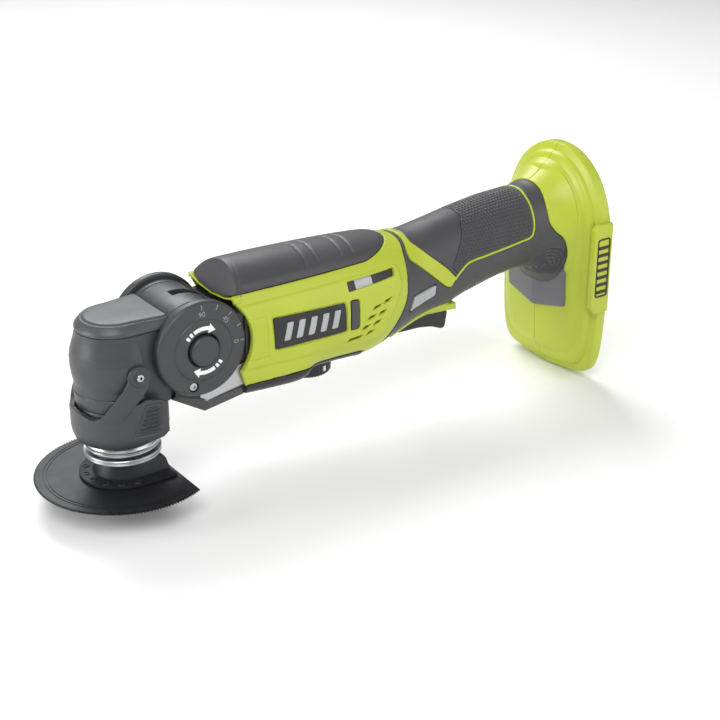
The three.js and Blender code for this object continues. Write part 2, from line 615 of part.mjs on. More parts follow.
add("clamp_lever", largest(lever), HEAD_GREY);
for (const [name, side] of [["left", -1], ["right", 1]]) {
  const screw = turnedY([
    [0, 17.5], [2.0, 17.5], [2.0, 23.7], [3.4, 23.7], [3.4, 24.4], [2.8, 24.8], [0, 24.8],
  ], leverX, leverZ, 16);
  add(`lever_pin_${name}`, side < 0 ? mirrored(screw) : screw, STEEL);
}

// ---------------------------------------------------------------- motor

add("motor_can", turnedX(ring(MOTOR_RADIUS - 1.5, MOTOR_RADIUS, MOTOR_FRONT, MOTOR_REAR), 0, 0, ROUND), STEEL);
const magnet = (from, to) => prismX(
  [...arc(MOTOR_RADIUS - 1.8, from, to, 8), ...arc(MOTOR_RADIUS - 4.6, to, from, 8)], MOTOR_FRONT + 5, MOTOR_REAR - 12);
add("motor_magnet_upper", magnet(25, 155), CARBON);
add("motor_magnet_lower", magnet(205, 335), CARBON);
add("motor_shaft", turnedX([
  [0, 6], [SHAFT_RADIUS - 0.4, 6], [SHAFT_RADIUS, 6.6], [SHAFT_RADIUS, 117], [0, 117]]), STEEL);
const slots = Array.from({ length: 5 }, (_, i) => {
  const angle = (2 * Math.PI * i) / 5 + 0.3;
  const [c, s] = [Math.cos(angle), Math.sin(angle)];
  const corner = (r, w) => [r * c - w * s, r * s + w * c];
  return prismX([corner(8, -2.4), corner(18, -1.2), corner(18, 1.2), corner(8, 2.4)], 60, 110);
});
add("armature_core", cut(turnedX(ring(SHAFT_RADIUS + GAP, 15, 68, 95)), ...slots), BLACK_STEEL);
add("armature_winding", turnedX([
  [SHAFT_RADIUS + GAP, 95.3], [13, 95.3], [12, 98.6], [8, 99.2], [5.5, 99.6], [5.5, 106],
  [SHAFT_RADIUS + GAP, 106], [SHAFT_RADIUS + GAP, 95.3]]), COPPER);
const fanBlades = Array.from({ length: FAN_BLADES }, (_, i) => {
  const angle = (2 * Math.PI * i) / FAN_BLADES;
  const [c, s] = [Math.cos(angle), Math.sin(angle)];
  const corner = (r, w) => [r * c - w * s, r * s + w * c];
  return prismX([corner(7, -0.6), corner(18, -3.2), corner(18, -2), corner(7, 0.6)], 57.4, 60.6);
});
add("cooling_fan", cut(
  union(turnedX(plug(18, 56.6, 57.6)), turnedX(plug(7.2, 56.6, 60.6)), ...fanBlades),
  turnedX(plug(SHAFT_RADIUS + GAP, 50, 66))), DARK);
for (const [name, from] of [["motor_front_bearing", 45], ["motor_rear_bearing", 110.5]]) {
  add(name, turnedX(ring(SHAFT_RADIUS + GAP, 7.4, from, from + 5), 0, 0, 24), STEEL);
}
const endCap = cut(
  turnedX([[0, MOTOR_REAR + GAP], [MOTOR_RADIUS, MOTOR_REAR + GAP], [MOTOR_RADIUS, 111], [11, 112], [11, 116.5],
    [0, 116.5]], 0, 0, 24),
  turnedX(plug(7.7, 110.2, 120)), turnedX(plug(6.2, 100, 112)),
);
add("motor_end_cap", endCap, DARK);
for (const [name, side] of [["left", -1], ["right", 1]]) {
  add(`brush_${name}`, block(100.4, 105.2, side < 0 ? -14 : 5.9, side < 0 ? -5.9 : 14, -2.6, 2.6), CARBON);
}
const OFFSET = 0.9; // throw of the eccentric
add("eccentric", cut(
  union(turnedX(plug(3.2 + OFFSET, -3, 3), 0, OFFSET, 20), turnedX(plug(5, 3, 11))),
  turnedX(plug(SHAFT_RADIUS + GAP, 5.7, 12))), STEEL);
add("eccentric_bearing", turnedX([
  [4.4, -2.8], [5.4, -2.8], [ECCENTRIC_BEARING, -1], [ECCENTRIC_BEARING, 1], [5.4, 2.6], [4.4, 2.6], [4.4, -2.8],
], 0, OFFSET, 24), STEEL);

// ---------------------------------------------------------------- controls and electrics

add("speed_dial", turned(ring(2.4, 13.2, DIAL_Z - 6, DIAL_Z + 2), DIAL_X, 0, 30), DARK);
add("speed_potentiometer", union(
  turned(plug(2.0, DIAL_Z - 5, DIAL_Z + 4.2), DIAL_X, 0, 16),
  block(DIAL_X - 6, DIAL_X + 6, -6, 6, DIAL_Z + 2.6, -26.5)), DARK);

const [triggerX, triggerZ] = TRIGGER_PIVOT;
const trigger = prismY([
  [triggerX - 2, triggerZ + 2], [115.8, -24.6], [116.6, -25.8], [135, -27.4], [144, -29.6], [149.8, -31], [152, -30.2],
  [152.4, -21.6], [146, -19.8], [134, -20.4],
], -8, 8);
add("trigger", cut(trigger, turnedY(plug(1.2, -20, 20), triggerX, triggerZ, 12)), DARK);
add("trigger_pin", turnedY(plug(0.9, -12, 12), triggerX, triggerZ, 12), STEEL);
add("switch_body", block(131, 147, -8.4, 8.4, -10.4, 14), DARK);
for (const [name, side] of [["left", -1], ["right", 1]]) {
  const button = prismY(inset(LOCK, GAP), 13, 22.6).intersect(bodySolid(-0.4, 110, 150));
  add(`lock_button_${name}`, side < 0 ? mirrored(button) : button, CAST);
}
add("terminal_block", block(SOCKET.front + GAP, SOCKET.front + 6, -11, 11, 0, 21), DARK);
for (const [name, side] of [["positive", -1], ["negative", 1]]) {
  add(`terminal_${name}`, block(SOCKET.front + 6.3, SOCKET.front + 20, side * 7 - 0.6, side * 7 + 0.6, 6, 15), COPPER);
}

part.position.set((BLADE_RADIUS - SPINDLE_X - DOCK_REAR) / 2, 0, -DOCK_BOTTOM);

export default part;
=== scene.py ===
import json
import math

import bmesh
import bpy
import numpy as np
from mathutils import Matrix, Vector


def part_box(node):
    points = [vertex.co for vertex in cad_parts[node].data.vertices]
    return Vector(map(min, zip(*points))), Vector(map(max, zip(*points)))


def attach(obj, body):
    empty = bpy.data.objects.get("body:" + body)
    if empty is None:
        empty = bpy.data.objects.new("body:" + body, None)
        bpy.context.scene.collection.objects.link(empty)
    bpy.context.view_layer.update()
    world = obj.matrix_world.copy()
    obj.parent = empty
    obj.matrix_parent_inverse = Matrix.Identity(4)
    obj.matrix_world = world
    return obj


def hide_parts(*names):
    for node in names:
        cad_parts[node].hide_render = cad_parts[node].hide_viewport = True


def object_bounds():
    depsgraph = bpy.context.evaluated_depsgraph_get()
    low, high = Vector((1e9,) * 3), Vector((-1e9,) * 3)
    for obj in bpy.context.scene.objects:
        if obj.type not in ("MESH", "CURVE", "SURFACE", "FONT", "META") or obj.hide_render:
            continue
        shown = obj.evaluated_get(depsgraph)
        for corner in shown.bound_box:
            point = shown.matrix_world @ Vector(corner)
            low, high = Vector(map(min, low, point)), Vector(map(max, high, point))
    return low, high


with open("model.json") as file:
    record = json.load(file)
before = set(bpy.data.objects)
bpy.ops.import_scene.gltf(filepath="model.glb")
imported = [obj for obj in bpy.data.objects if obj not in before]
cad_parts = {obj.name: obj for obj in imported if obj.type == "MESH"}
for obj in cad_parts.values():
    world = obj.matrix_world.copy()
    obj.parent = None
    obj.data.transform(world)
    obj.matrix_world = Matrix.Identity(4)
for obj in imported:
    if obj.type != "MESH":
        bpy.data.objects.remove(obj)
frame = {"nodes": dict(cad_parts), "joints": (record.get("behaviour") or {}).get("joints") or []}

CAD_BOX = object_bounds()
scene = bpy.context.scene

# Shapes are drawn in millimetres about the head's tilt axis, as x, y, z: x to the dock, y across, z up.
TILT = np.array(next(j for j in frame["joints"] if j["name"] == "head_tilt")["pos_m"])
LEVER = (np.array(next(j for j in frame["joints"] if j["name"] == "lever_swing")["pos_m"]) - TILT) * 1000
SPINDLE_X = float(LEVER[0])


def node_box(name):
    """Lowest and highest corner of a CAD node, in millimetres about the tilt axis."""
    low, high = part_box(name)
    return (np.array(low) - TILT) * 1000, (np.array(high) - TILT) * 1000


# ---------------------------------------------------------------- materials

def principled(name, color, roughness, metallic=0.0, **sockets):
    material = bpy.data.materials.new(name)
    material.use_nodes = True
    shader = material.node_tree.nodes["Principled BSDF"]
    shader.inputs["Base Color"].default_value = (*color, 1)
    shader.inputs["Roughness"].default_value = roughness
    shader.inputs["Metallic"].default_value = metallic
    for socket, value in sockets.items():
        shader.inputs[socket.replace("_", " ")].default_value = value
    return material


def noise(material, scale, detail=3.0, stretch=(1, 1, 1)):
    nodes, links = material.node_tree.nodes, material.node_tree.links
    place = nodes.new("ShaderNodeTexCoord")
    mapping = nodes.new("ShaderNodeMapping")
    mapping.inputs["Scale"].default_value = stretch
    texture = nodes.new("ShaderNodeTexNoise")
    texture.inputs["Scale"].default_value = scale
    texture.inputs["Detail"].default_value = detail
    links.new(place.outputs["Object"], mapping.inputs["Vector"])
    links.new(mapping.outputs["Vector"], texture.inputs["Vector"])
    return texture.outputs["Fac"]


def ramp(material, factor, low, high, start=0.3, end=0.7):
    node = material.node_tree.nodes.new("ShaderNodeValToRGB")
    node.color_ramp.elements[0].position = start
    node.color_ramp.elements[1].position = end
    node.color_ramp.elements[0].color = (*low, 1) if isinstance(low, tuple) else (low, low, low, 1)
    node.color_ramp.elements[1].color = (*high, 1) if isinstance(high, tuple) else (high, high, high, 1)
    material.node_tree.links.new(factor, node.inputs["Fac"])
    return node.outputs["Color"]


def grain(material, factor, strength, distance=0.0001):
    nodes, links = material.node_tree.nodes, material.node_tree.links
    bump = nodes.new("ShaderNodeBump")
    bump.inputs["Strength"].default_value = strength
    bump.inputs["Distance"].default_value = distance
    links.new(factor, bump.inputs["Height"])
    links.new(bump.outputs["Normal"], nodes["Principled BSDF"].inputs["Normal"])


def textured(name, color, roughness, metallic=0.0, scale=2500, strength=0.2, tone=0.06, stretch=(1, 1, 1),
             **sockets):
    """A surface with a fine grain, a slow drift of tone and an uneven gloss."""
    material = principled(name, color, roughness, metallic, **sockets)
    shader = material.node_tree.nodes["Principled BSDF"]
    links = material.node_tree.links
    drift = noise(material, 45, 4)
    low = tuple(c * (1 - tone) for c in color)
    high = tuple(min(1, c * (1 + tone)) for c in color)
    links.new(ramp(material, drift, low, high), shader.inputs["Base Color"])
    gloss = noise(material, 160, 5, stretch)
    links.new(ramp(material, gloss, roughness * 0.9, roughness * 1.1), shader.inputs["Roughness"])
    grain(material, noise(material, scale, 2, stretch), strength)
    return material


LIME = textured("lime_plastic", (0.43, 0.505, 0.035), 0.36, scale=2200, strength=0.12, tone=0.035)
RUBBER = textured("grip_rubber", (0.052, 0.052, 0.057), 0.46, scale=3200, strength=0.3)
KNURL = textured("knurled_rubber", (0.046, 0.046, 0.050), 0.48, scale=3200, strength=0.2)
DARK = textured("black_plastic", (0.014, 0.014, 0.015), 0.4, scale=2600, strength=0.15)
CASTING = textured("coated_casting", (0.050, 0.052, 0.055), 0.42, 0.2, scale=2600, strength=0.25, tone=0.05)
CAP_GREY = textured("coated_cap", (0.066, 0.069, 0.072), 0.42, 0.15, scale=2600, strength=0.22, tone=0.05)
CAST = textured("bare_casting", (0.50, 0.51, 0.52), 0.38, 0.85, scale=1500, strength=0.35, tone=0.12)
STEEL = textured("turned_steel", (0.52, 0.53, 0.55), 0.3, 1.0, scale=900, strength=0.05, stretch=(1, 1, 12))
BLACK_STEEL = textured("black_steel", (0.035, 0.036, 0.039), 0.42, 0.7, scale=1600, strength=0.22,
                       tone=0.15)
PLATE_GREY = textured("plate_rubber", (0.13, 0.13, 0.14), 0.4, scale=3000, strength=0.25)
MARK_GREY = textured("mark_grey", (0.27, 0.275, 0.28), 0.4, 0.2, scale=2600, strength=0.1)
COPPER = textured("copper", (0.62, 0.30, 0.14), 0.35, 1.0, scale=1400, strength=0.3, stretch=(14, 1, 1))
CARBON = textured("carbon", (0.045, 0.045, 0.047), 0.7, scale=1800, strength=0.3)
FERRITE = textured("ferrite", (0.06, 0.06, 0.065), 0.6, 0.2, scale=1500, strength=0.3)
SILVER = textured("silver_plastic", (0.42, 0.43, 0.44), 0.4, 0.35, scale=2600, strength=0.25)
WHITE = textured("white_print", (0.86, 0.86, 0.85), 0.45, scale=2600, strength=0.1, tone=0.02)


# ---------------------------------------------------------------- mesh helpers

def new_mesh(name, points, faces):
    """A mesh with its normals turned outwards."""
    mesh = bpy.data.meshes.new(name)
    mesh.from_pydata(np.asarray(points, float).tolist(), [], [list(f) for f in faces])
    tidy = bmesh.new()
    tidy.from_mesh(mesh)
    bmesh.ops.recalc_face_normals(tidy, faces=tidy.faces)
    tidy.to_mesh(mesh)
    tidy.free()
    return mesh


def mesh_of(obj):
    """The points and faces of an object with its modifiers applied."""
    graph = bpy.context.evaluated_depsgraph_get()
    mesh = bpy.data.meshes.new_from_object(obj.evaluated_get(graph))
    points = np.array([v.co[:] for v in mesh.vertices])
    faces = [list(p.vertices) for p in mesh.polygons]
    bpy.data.meshes.remove(mesh)
    return points, faces


def piece(name, points, faces, material, body, slot, replaces=(), sharp=32):
    """A mesh of points in millimetres about the tilt axis, riding on a body."""
    mesh = new_mesh(name, np.asarray(points, float) * 0.001 + TILT, faces)
    mesh.polygons.foreach_set("use_smooth", [True] * len(mesh.polygons))
    mesh.set_sharp_from_angle(angle=math.radians(sharp))
    mesh.materials.append(material)
    obj = bpy.data.objects.new(name, mesh)
    scene.collection.objects.link(obj)
    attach(obj, body)
    if replaces:
        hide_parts(*replaces)
    return obj


def joined(*shapes):
    points, faces = [], []
    for p, f in shapes:
        start = len(points)
        points.extend(np.asarray(p, float).tolist())
        faces.extend([[i + start for i in face] for face in f])
    return points, faces


def flipped(shape):
    """The mirror image across y = 0."""
    return np.asarray(shape[0], float) * np.array([1, -1, 1]), [list(reversed(f)) for f in shape[1]]


SIDES = (("left", -1), ("right", 1))


def on_side(shape, side):
    """A shape drawn at positive y, placed on the given side."""
    return shape if side > 0 else flipped(shape)


def soften(profile, radius, steps=3, closed=False):
    """A polyline with each corner replaced by a short arc."""
    given = [np.array(p, float) for p in profile]
    result = []
    last = len(given) - 1
    for i, point in enumerate(given):
        if not closed and i in (0, last):
            result.append(point)
            continue
        before, after = given[i - 1] - point, given[(i + 1) % len(given)] - point
        reach = min(radius, 0.45 * np.linalg.norm(before), 0.45 * np.linalg.norm(after))
        if reach < 1e-6:
            continue
        a = point + before / np.linalg.norm(before) * reach
        b = point + after / np.linalg.norm(after) * reach
        for k in range(steps + 1):
            t = k / steps
            result.append((1 - t) ** 2 * a + 2 * t * (1 - t) * point + t**2 * b)
    return result


def smooth_line(points, count=8, closed=False):
    """A Catmull-Rom curve through points."""
    p = [np.array(q, float) for q in points]
    n = len(p)
    result = []
    for i in range(n if closed else n - 1):
        a = p[i - 1] if closed or i > 0 else p[0]
        b, c = p[i], p[(i + 1) % n]
        d = p[(i + 2) % n] if closed or i + 2 < n else p[n - 1]
        for k in range(count):
            t = k / count
            result.append(0.5 * (2 * b + (c - a) * t + (2 * a - 5 * b + 4 * c - d) * t**2
                                 + (3 * b - a - 3 * c + d) * t**3))
    if not closed:
        result.append(p[-1])
    return result


def rings_shape(rings, wrap=False):
    """A skin over closed rings with the same number of points."""
    rings = [np.asarray(r, float) for r in rings]
    n = len(rings[0])
    points = np.concatenate(rings)
    faces = []
    for i in range(len(rings) if wrap else len(rings) - 1):
        j = (i + 1) % len(rings)
        for k in range(n):
            m = (k + 1) % n
            faces.append([i * n + k, i * n + m, j * n + m, j * n + k])
    if not wrap:
        faces.append(list(range(n - 1, -1, -1)))
        start = (len(rings) - 1) * n
        faces.append(list(range(start, start + n)))
    return points, faces


AXES = {"z": (0, 1, 2), "y": (0, 2, 1), "x": (1, 2, 0)}


def lathe(profile, axis="z", center=(0, 0), sides=96, round_by=0.3, closed=False):
    """Radius and height pairs turned about an axis. center is the other two coordinates."""
    line = soften(profile, round_by, closed=closed)
    a, b, along = AXES[axis]
    angles = 2 * np.pi * np.arange(sides) / sides
    rings = []
    for r, h in line:
        ring = np.zeros((sides, 3))
        ring[:, a] = center[0] + max(r, 1e-4) * np.cos(angles)
        ring[:, b] = center[1] + max(r, 1e-4) * np.sin(angles)
        ring[:, along] = h
        rings.append(ring)
    return rings_shape(rings, wrap=closed)


def rod(radius, low, high, axis="y", **options):
    """A cylinder from low to high along an axis."""
    return lathe([(0, low), (radius, low), (radius, high), (0, high)], axis, **options)


def rect(u0, v0, u1, v1):
    return [(u0, v0), (u1, v0), (u1, v1), (u0, v1)]


def slab(outline, low, high, axis="y", edge=0.4, steps=3, corner=0.0):
    """An outline given in the two other coordinates, from low to high, with its rims rounded."""
    line = soften(outline, corner, 4, closed=True) if corner else [np.array(p, float) for p in outline]
    a, b, along = AXES[axis]
    made = bmesh.new()
    bottom = []
    for u, v in line:
        place = [0.0, 0.0, 0.0]
        place[a], place[b], place[along] = u, v, low
        bottom.append(made.verts.new(place))
    face = made.faces.new(bottom)
    top = bmesh.ops.extrude_face_region(made, geom=[face])["geom"]
    verts = [g for g in top if isinstance(g, bmesh.types.BMVert)]
    lift = [0.0, 0.0, 0.0]
    lift[along] = high - low
    bmesh.ops.translate(made, verts=verts, vec=lift)
    made.normal_update()
    if edge:
        caps = [e for e in made.edges if abs(e.verts[0].co[along] - e.verts[1].co[along]) < 1e-6]
        bmesh.ops.bevel(made, geom=caps, offset=edge, segments=steps, profile=0.5, affect="EDGES",
                        clamp_overlap=True)
    made.verts.index_update()
    points = np.array([v.co[:] for v in made.verts])
    faces = [[v.index for v in f.verts] for f in made.faces]
    made.free()
    return points, faces


def arc(radius, start, end, steps, center=(0, 0)):
    angles = np.radians(np.linspace(start, end, steps + 1))
    return [(center[0] + radius * math.cos(t), center[1] + radius * math.sin(t)) for t in angles]


def carved(shape, *cutters):
    """The shape with solids cut out of it."""
    def temporary(given):
        obj = bpy.data.objects.new("carving", new_mesh("carving", *given))
        scene.collection.objects.link(obj)
        return obj

    base = temporary(shape)
    tools = [temporary(c) for c in cutters]
    for tool in tools:
        modifier = base.modifiers.new("cut", "BOOLEAN")
        modifier.operation = "DIFFERENCE"
        modifier.solver = "EXACT"
        modifier.object = tool
    result = mesh_of(base)
    for obj in [base, *tools]:
        used = obj.data
        bpy.data.objects.remove(obj)
        bpy.data.meshes.remove(used)
    return result


# ---------------------------------------------------------------- body surface

# Cross-sections: x, top, bottom, half width, height of the widest line, and the powers of the upper and
# lower halves.
SECTIONS = np.array([
    [14, 30.5, -30.5, 24.5, -2, 2.1, 6.4],
    [40, 30.2, -31.5, 26.5, -2, 2.1, 6.4],
    [54, 29.8, -31.8, 27.3, -2, 2.1, 5.6],
    [61, 29.5, -30.4, 27.7, -2, 2.1, 3.4],
    [70, 29.2, -30.2, 28.0, -2, 2.1, 3.0],
    [95, 27.8, -30.0, 28.0, -1, 2.1, 3.3],
    [112, 26.5, -27.0, 26.0, 0, 2.1, 2.8],
    [130, 24.0, -22.0, 22.0, 1, 2.1, 3.0],
    [148, 26.5, -19.0, 20.0, 4, 2.1, 3.6],
    [157, 28.0, -17.6, 19.9, 5.5, 2.1, 2.8],
    [166, 29.3, -16.5, 20.0, 7, 2.1, 2.3],
    [187, 31.8, -12.5, 20.5, 10, 2.1, 2.1],
    [205, 32.8, -11.0, 20.5, 11, 2.1, 2.1],
    [214, 34.0, -14.0, 21.5, 10, 2.1, 2.1],
    [222, 38.0, -22.0, 24.5, 8, 2.2, 2.2],
    [229, 43.0, -31.0, 28.5, 6, 2.3, 2.3],
])


def sections_at(x):
    """The six section values at each x, by a smooth cubic through the stations."""
    stations, values = SECTIONS[:, 0], SECTIONS[:, 1:]
    slopes = np.empty_like(values)
    for k in range(len(stations)):
        low, high = max(k - 1, 0), min(k + 1, len(stations) - 1)
        slopes[k] = (values[high] - values[low]) / (stations[high] - stations[low])
    i = np.clip(np.searchsorted(stations, x, side="right") - 1, 0, len(stations) - 2)
    h = (stations[i + 1] - stations[i])[:, None]
    t = (x - stations[i])[:, None] / h
    return ((2 * t**3 - 3 * t**2 + 1) * values[i] + (t**3 - 2 * t**2 + t) * h * slopes[i]
            + (3 * t**2 - 2 * t**3) * values[i + 1] + (t**3 - t**2) * h * slopes[i + 1])


def body_grid(x, sides):
    """Points and outward normals of the body's surface, one row for each x."""
    angle = 2 * np.pi * (np.arange(sides) + 0.5) / sides
    c, s = np.cos(angle), np.sin(angle)
    top, bottom, half, middle, upper, lower = [v[:, None] for v in sections_at(x).T]
    power = np.where(s[None, :] > 0, upper, lower)
    height = np.where(s[None, :] > 0, top - middle, middle - bottom)
    radius = ((np.abs(c) / half) ** power + (np.abs(s) / height) ** power) ** (-1 / power)
    y = radius * c
    z = middle + radius * s
    points = np.stack([np.broadcast_to(x[:, None], y.shape), y, z], axis=2)
    along = np.gradient(points, axis=0)
    around = np.roll(points, -1, axis=1) - np.roll(points, 1, axis=1)
    normal = np.cross(around, along)
    normal /= np.linalg.norm(normal, axis=2, keepdims=True) + 1e-12
    outward = np.sign(np.sum(normal * (points - np.stack([points[..., 0], 0 * y, 0 * z + middle], axis=2)),
                             axis=2))
    return points, normal * outward[..., None]


def inside(outline, x, z):
    """Signed distance to a closed side-view outline, positive inside it."""
    line = np.asarray(outline, float)
    away = np.full(x.shape, 1e9)
    within = np.zeros(x.shape, bool)
    for (ax, az), (bx, bz) in zip(line, np.roll(line, -1, axis=0)):
        dx, dz = bx - ax, bz - az
        length = dx * dx + dz * dz + 1e-12
        t = np.clip(((x - ax) * dx + (z - az) * dz) / length, 0, 1)
        away = np.minimum(away, np.hypot(x - ax - t * dx, z - az - t * dz))
        crosses = ((az > z) != (bz > z)) & (x < (bx - ax) * (z - az) / (dz + 1e-12) + ax)
        within ^= crosses
    return np.where(within, away, -away)


def clip(points, normals, region):
    """The part of a grid where region is positive, as points, normals, values and faces."""
    rows, sides = region.shape
    flat_p, flat_n, flat_v = points.reshape(-1, 3), normals.reshape(-1, 3), region.ravel()
    keep = flat_v > 0
    number = np.full(len(flat_v), -1)
    number[keep] = np.arange(keep.sum())
    new_p, new_n, new_v = [flat_p[keep]], [flat_n[keep]], [flat_v[keep]]
    count = int(keep.sum())
    a = (np.arange(rows - 1)[:, None] * sides + np.arange(sides)[None, :])
    b = (np.arange(rows - 1)[:, None] * sides + (np.arange(sides)[None, :] + 1) % sides)
    cells = np.stack([a, b, b + sides, a + sides], axis=2).reshape(-1, 4)
    inside_count = keep[cells].sum(axis=1)
    faces = number[cells[inside_count == 4]].tolist()
    crossings = {}
    extra = []

    def crossing(p, q):
        nonlocal count
        key = (p, q) if p < q else (q, p)
        if key not in crossings:
            t = flat_v[key[0]] / (flat_v[key[0]] - flat_v[key[1]])
            extra.append((flat_p[key[0]] * (1 - t) + flat_p[key[1]] * t,
                          flat_n[key[0]] * (1 - t) + flat_n[key[1]] * t))
            crossings[key] = count
            count += 1
        return crossings[key]

    for cell in cells[(inside_count > 0) & (inside_count < 4)].tolist():
        loop = []
        for k in range(4):
            p, q = cell[k], cell[(k + 1) % 4]
            if keep[p]:
                loop.append(int(number[p]))
            if keep[p] != keep[q]:
                loop.append(crossing(p, q))
        if len(loop) >= 3:
            faces.append(loop)
    if extra:
        new_p.append(np.array([e[0] for e in extra]))
        new_n.append(np.array([e[1] for e in extra]))
        new_v.append(np.zeros(len(extra)))
    return np.concatenate(new_p), np.concatenate(new_n), np.concatenate(new_v), faces


def sheet(points, normals, values, lift, depth, edge):
    """A closed shell over the part of a grid where values is positive. lift and depth give the height of
    its outer face and the depth of its inner one, from the points and their distance to the rim."""
    p, n, d, faces = clip(points, normals, values)
    n = n / (np.linalg.norm(n, axis=1, keepdims=True) + 1e-12)
    fall = edge - np.sqrt(np.maximum(edge**2 - (edge - np.minimum(d, edge)) ** 2, 0)) if edge else 0 * d
    outer = p + n * (lift(p, d) - fall)[:, None]
    inner = p - n * (depth(p, d) + 0 * d)[:, None]
    count = len(p)
    edges = set()
    for face in faces:
        for e in zip(face, face[1:] + face[:1]):
            if e[::-1] in edges:
                edges.remove(e[::-1])
            else:
                edges.add(e)
    walls = [[b, a, a + count, b + count] for a, b in sorted(edges)]
    back = [[i + count for i in reversed(face)] for face in faces]
    return np.concatenate([outer, inner]), faces + back + walls


def skin(region, lift, start, end, depth=1.6, step=0.7, sides=256, edge=0.5, across=0):
    """A shell over the part of the body's surface where region(x, y, z) is positive.
    It is thickened along the surface's normals, or straight along y where across is 1 or -1."""
    points, normals = body_grid(np.arange(start, end + step / 2, step), sides)
    if across:
        normals = np.broadcast_to(np.array([0.0, across, 0.0]), points.shape)
    values = region(points[..., 0], points[..., 1], points[..., 2])
    return sheet(points, normals, values, lambda p, d: lift(p[:, 0], p[:, 1], p[:, 2], d), lambda p,
                 d: depth, edge)


def flat_lift(amount):
    return lambda x, y, z, d: np.full(x.shape, amount)


# ---------------------------------------------------------------- outlines of the body, side view

HANDLE_FRONT = smooth_line([
    (124, 44), (123.8, 31), (123, 24), (119.5, 17.8), (117.6, 7.4), (116.2, -2.7), (111, -12.4),
    (106.4, -19.1),
    (99, -30), (95, -44)], 6)
HANDLE_OUTLINE = [*HANDLE_FRONT, (240, -44), (240, 44)]
SHOULDER_EDGE = smooth_line([(217.2, 44), (216.4, 34.9), (214.3, 25.6), (214.2, 17.2), (217.6, 11.5),
                             (221.5, 7.6),
                             (224, 0), (224.5, -12), (224.5, -44)], 6)
SHOULDER = [*SHOULDER_EDGE, (240, -44), (240, 44)]
SKIRT = soften([(22, -24.3), (64, -23.9), (88.0, -23.7), (92.4, -25.4), (91.4, -29.4), (88.6, -29.2),
                (86.6, -26.4),
                (62, -27.0), (55, -44), (22, -44)], 1.2, closed=True)
STRIPE = soften([(128.9, 29), (128.9, 23.9), (127.9, 21.6), (135.9, 14.2), (145.5, 6.2), (152.2, -0.6),
                 (148.6, -5),
                 (144.9, -3.6), (133.7, 6), (122.3, 15.9), (122.4, 19), (124.9, 22.8), (126.4, 29)], 1.2,
                closed=True)
PIPING = smooth_line([(151.4, -1.4), (155.7, 2.8), (160.8, 6.1), (170.7, 7.3), (180.6, 8.5), (194.2, 10.1),
                      (201.6, 11.3), (204, 15.7), (205.1, 25.4), (205.8, 30.8), (206.8, 33.4), (207, 44)],
                     6)
KNURL_FRONT = smooth_line([(165.4, 44), (163.8, 29), (160.9, 25.2), (156.9, 18), (152.4, 11), (149.6, 5.4)],
                          6)
KNURL_ZONE = [*KNURL_FRONT, (153, 1.6), *PIPING[6:]]
RAIL = [*smooth_line([(108.6, -22.6), (114.0, -20.6), (123.2, -17.3), (131.6, -15.7), (138, -14.8),
                      (146.4, -14.9),
                      (155.2, -16.2)], 5),
        *smooth_line([(155.6, -20.4), (148, -19.3), (139.4, -18.7), (133.2, -19.1), (125.0, -20.6),
                      (114.4, -23.6)], 5)]
LOCK_BUTTON = soften([(137.9, -0.9), (137.2, -6.4), (119.1, -10.0), (121.8, -2.9)], 0.8, closed=True)
SLOT = soften([(80.0, 14.9), (109.4, 15.4), (108.8, 11.9), (79.9, 10.3)], 0.7, closed=True)
BADGE = soften([(36.8, 6.9), (77.0, 6.0), (77.6, -8.9), (37.4, -9.0)], 1.2, closed=True)
PAD = soften([(80.0, 6.1), (84.8, 5.9), (84.6, -8.6), (79.8, -8.8)], 1.0, closed=True)
PANEL = soften([(10, 14.8), (112, 16.6), (113, 6), (100, -16.5), (10, -15.5)], 3, closed=True)
FRAME = soften([(18, 8.6), (33.6, 8.2), (34.2, -11.6), (18, -12.4)], 1.5, closed=True)
VENTS = [(102.4, 1.2, 4.6), (95.6, -0.4, 4.6), (99.2, -4.1, 4.6), (92.4, -5.0, 4.6), (95.8, -8.6, 4.4),
         (88.8, -9.6, 4.4), (91.6, -13.0, 4.4), (82.6, -14.2, 8.4)]
# Outline of the dark sheet behind the vents and slot ends: painted shade for the dark inside of the
# housing.
SHADE_SHEET = [(77, 18.5), (112.5, 18.5), (112.5, 2), (100, -19), (77, -19)]
WINDOW = [(85.0, 18), (95.6, 18), (95.6, 8.4), (85.0, 8.4)]


def vent(x, z, length):
    half = length / 2
    return [(x - half - 0.9, z - 1.1), (x + half - 0.9, z - 0.5), (x + half + 0.9, z + 1.2),
            (x - half + 0.9, z + 0.6)]


DIAL_GAP = 25.7       # clearance circle of the shells round the dials
SEAM = 0.12           # half of the line between the two shells
JOINT_LINE = 0.16     # half of the line between a shell and an overmould
GRIP_LINE = 20.2      # lower edge of the top grip
SHELL_FRONT = 19.4    # foremost x of the two shells
WHEEL_X = 71.0        # axis of the speed wheel
WHEEL_ROOM = 14.9     # radius of the opening for the speed wheel
FAR = 9               # a distance that never limits a region


def grip_region(x, y, z):
    """Positive on the top grip: above its lower line and ahead of its round rear end."""
    rear = 117 - 35 * (1 - np.sqrt(np.maximum(1 - (y / 20.4) ** 2, 0)))
    line = GRIP_LINE + 0.011 * (x - 20)
    return np.minimum((z - line) * 0.8, (rear - x) * 0.7)


def all_of(*distances):
    return np.minimum.reduce(distances)


def side_patch(side, outline, inset=0.0):
    """The part of one flank inside a side-view outline."""
    return lambda x, y, z: all_of(side * y - 5, inside(outline, x, z) - inset)


def front_room(x, z):
    """Positive behind the dial's clearance circle and the slanted lower front edge."""
    slant = (x - 19.5) * 0.96 + (z + 17) * 0.283
    return all_of(np.hypot(x, z) - DIAL_GAP, np.where(z < -15, slant, FAR), x - SHELL_FRONT)


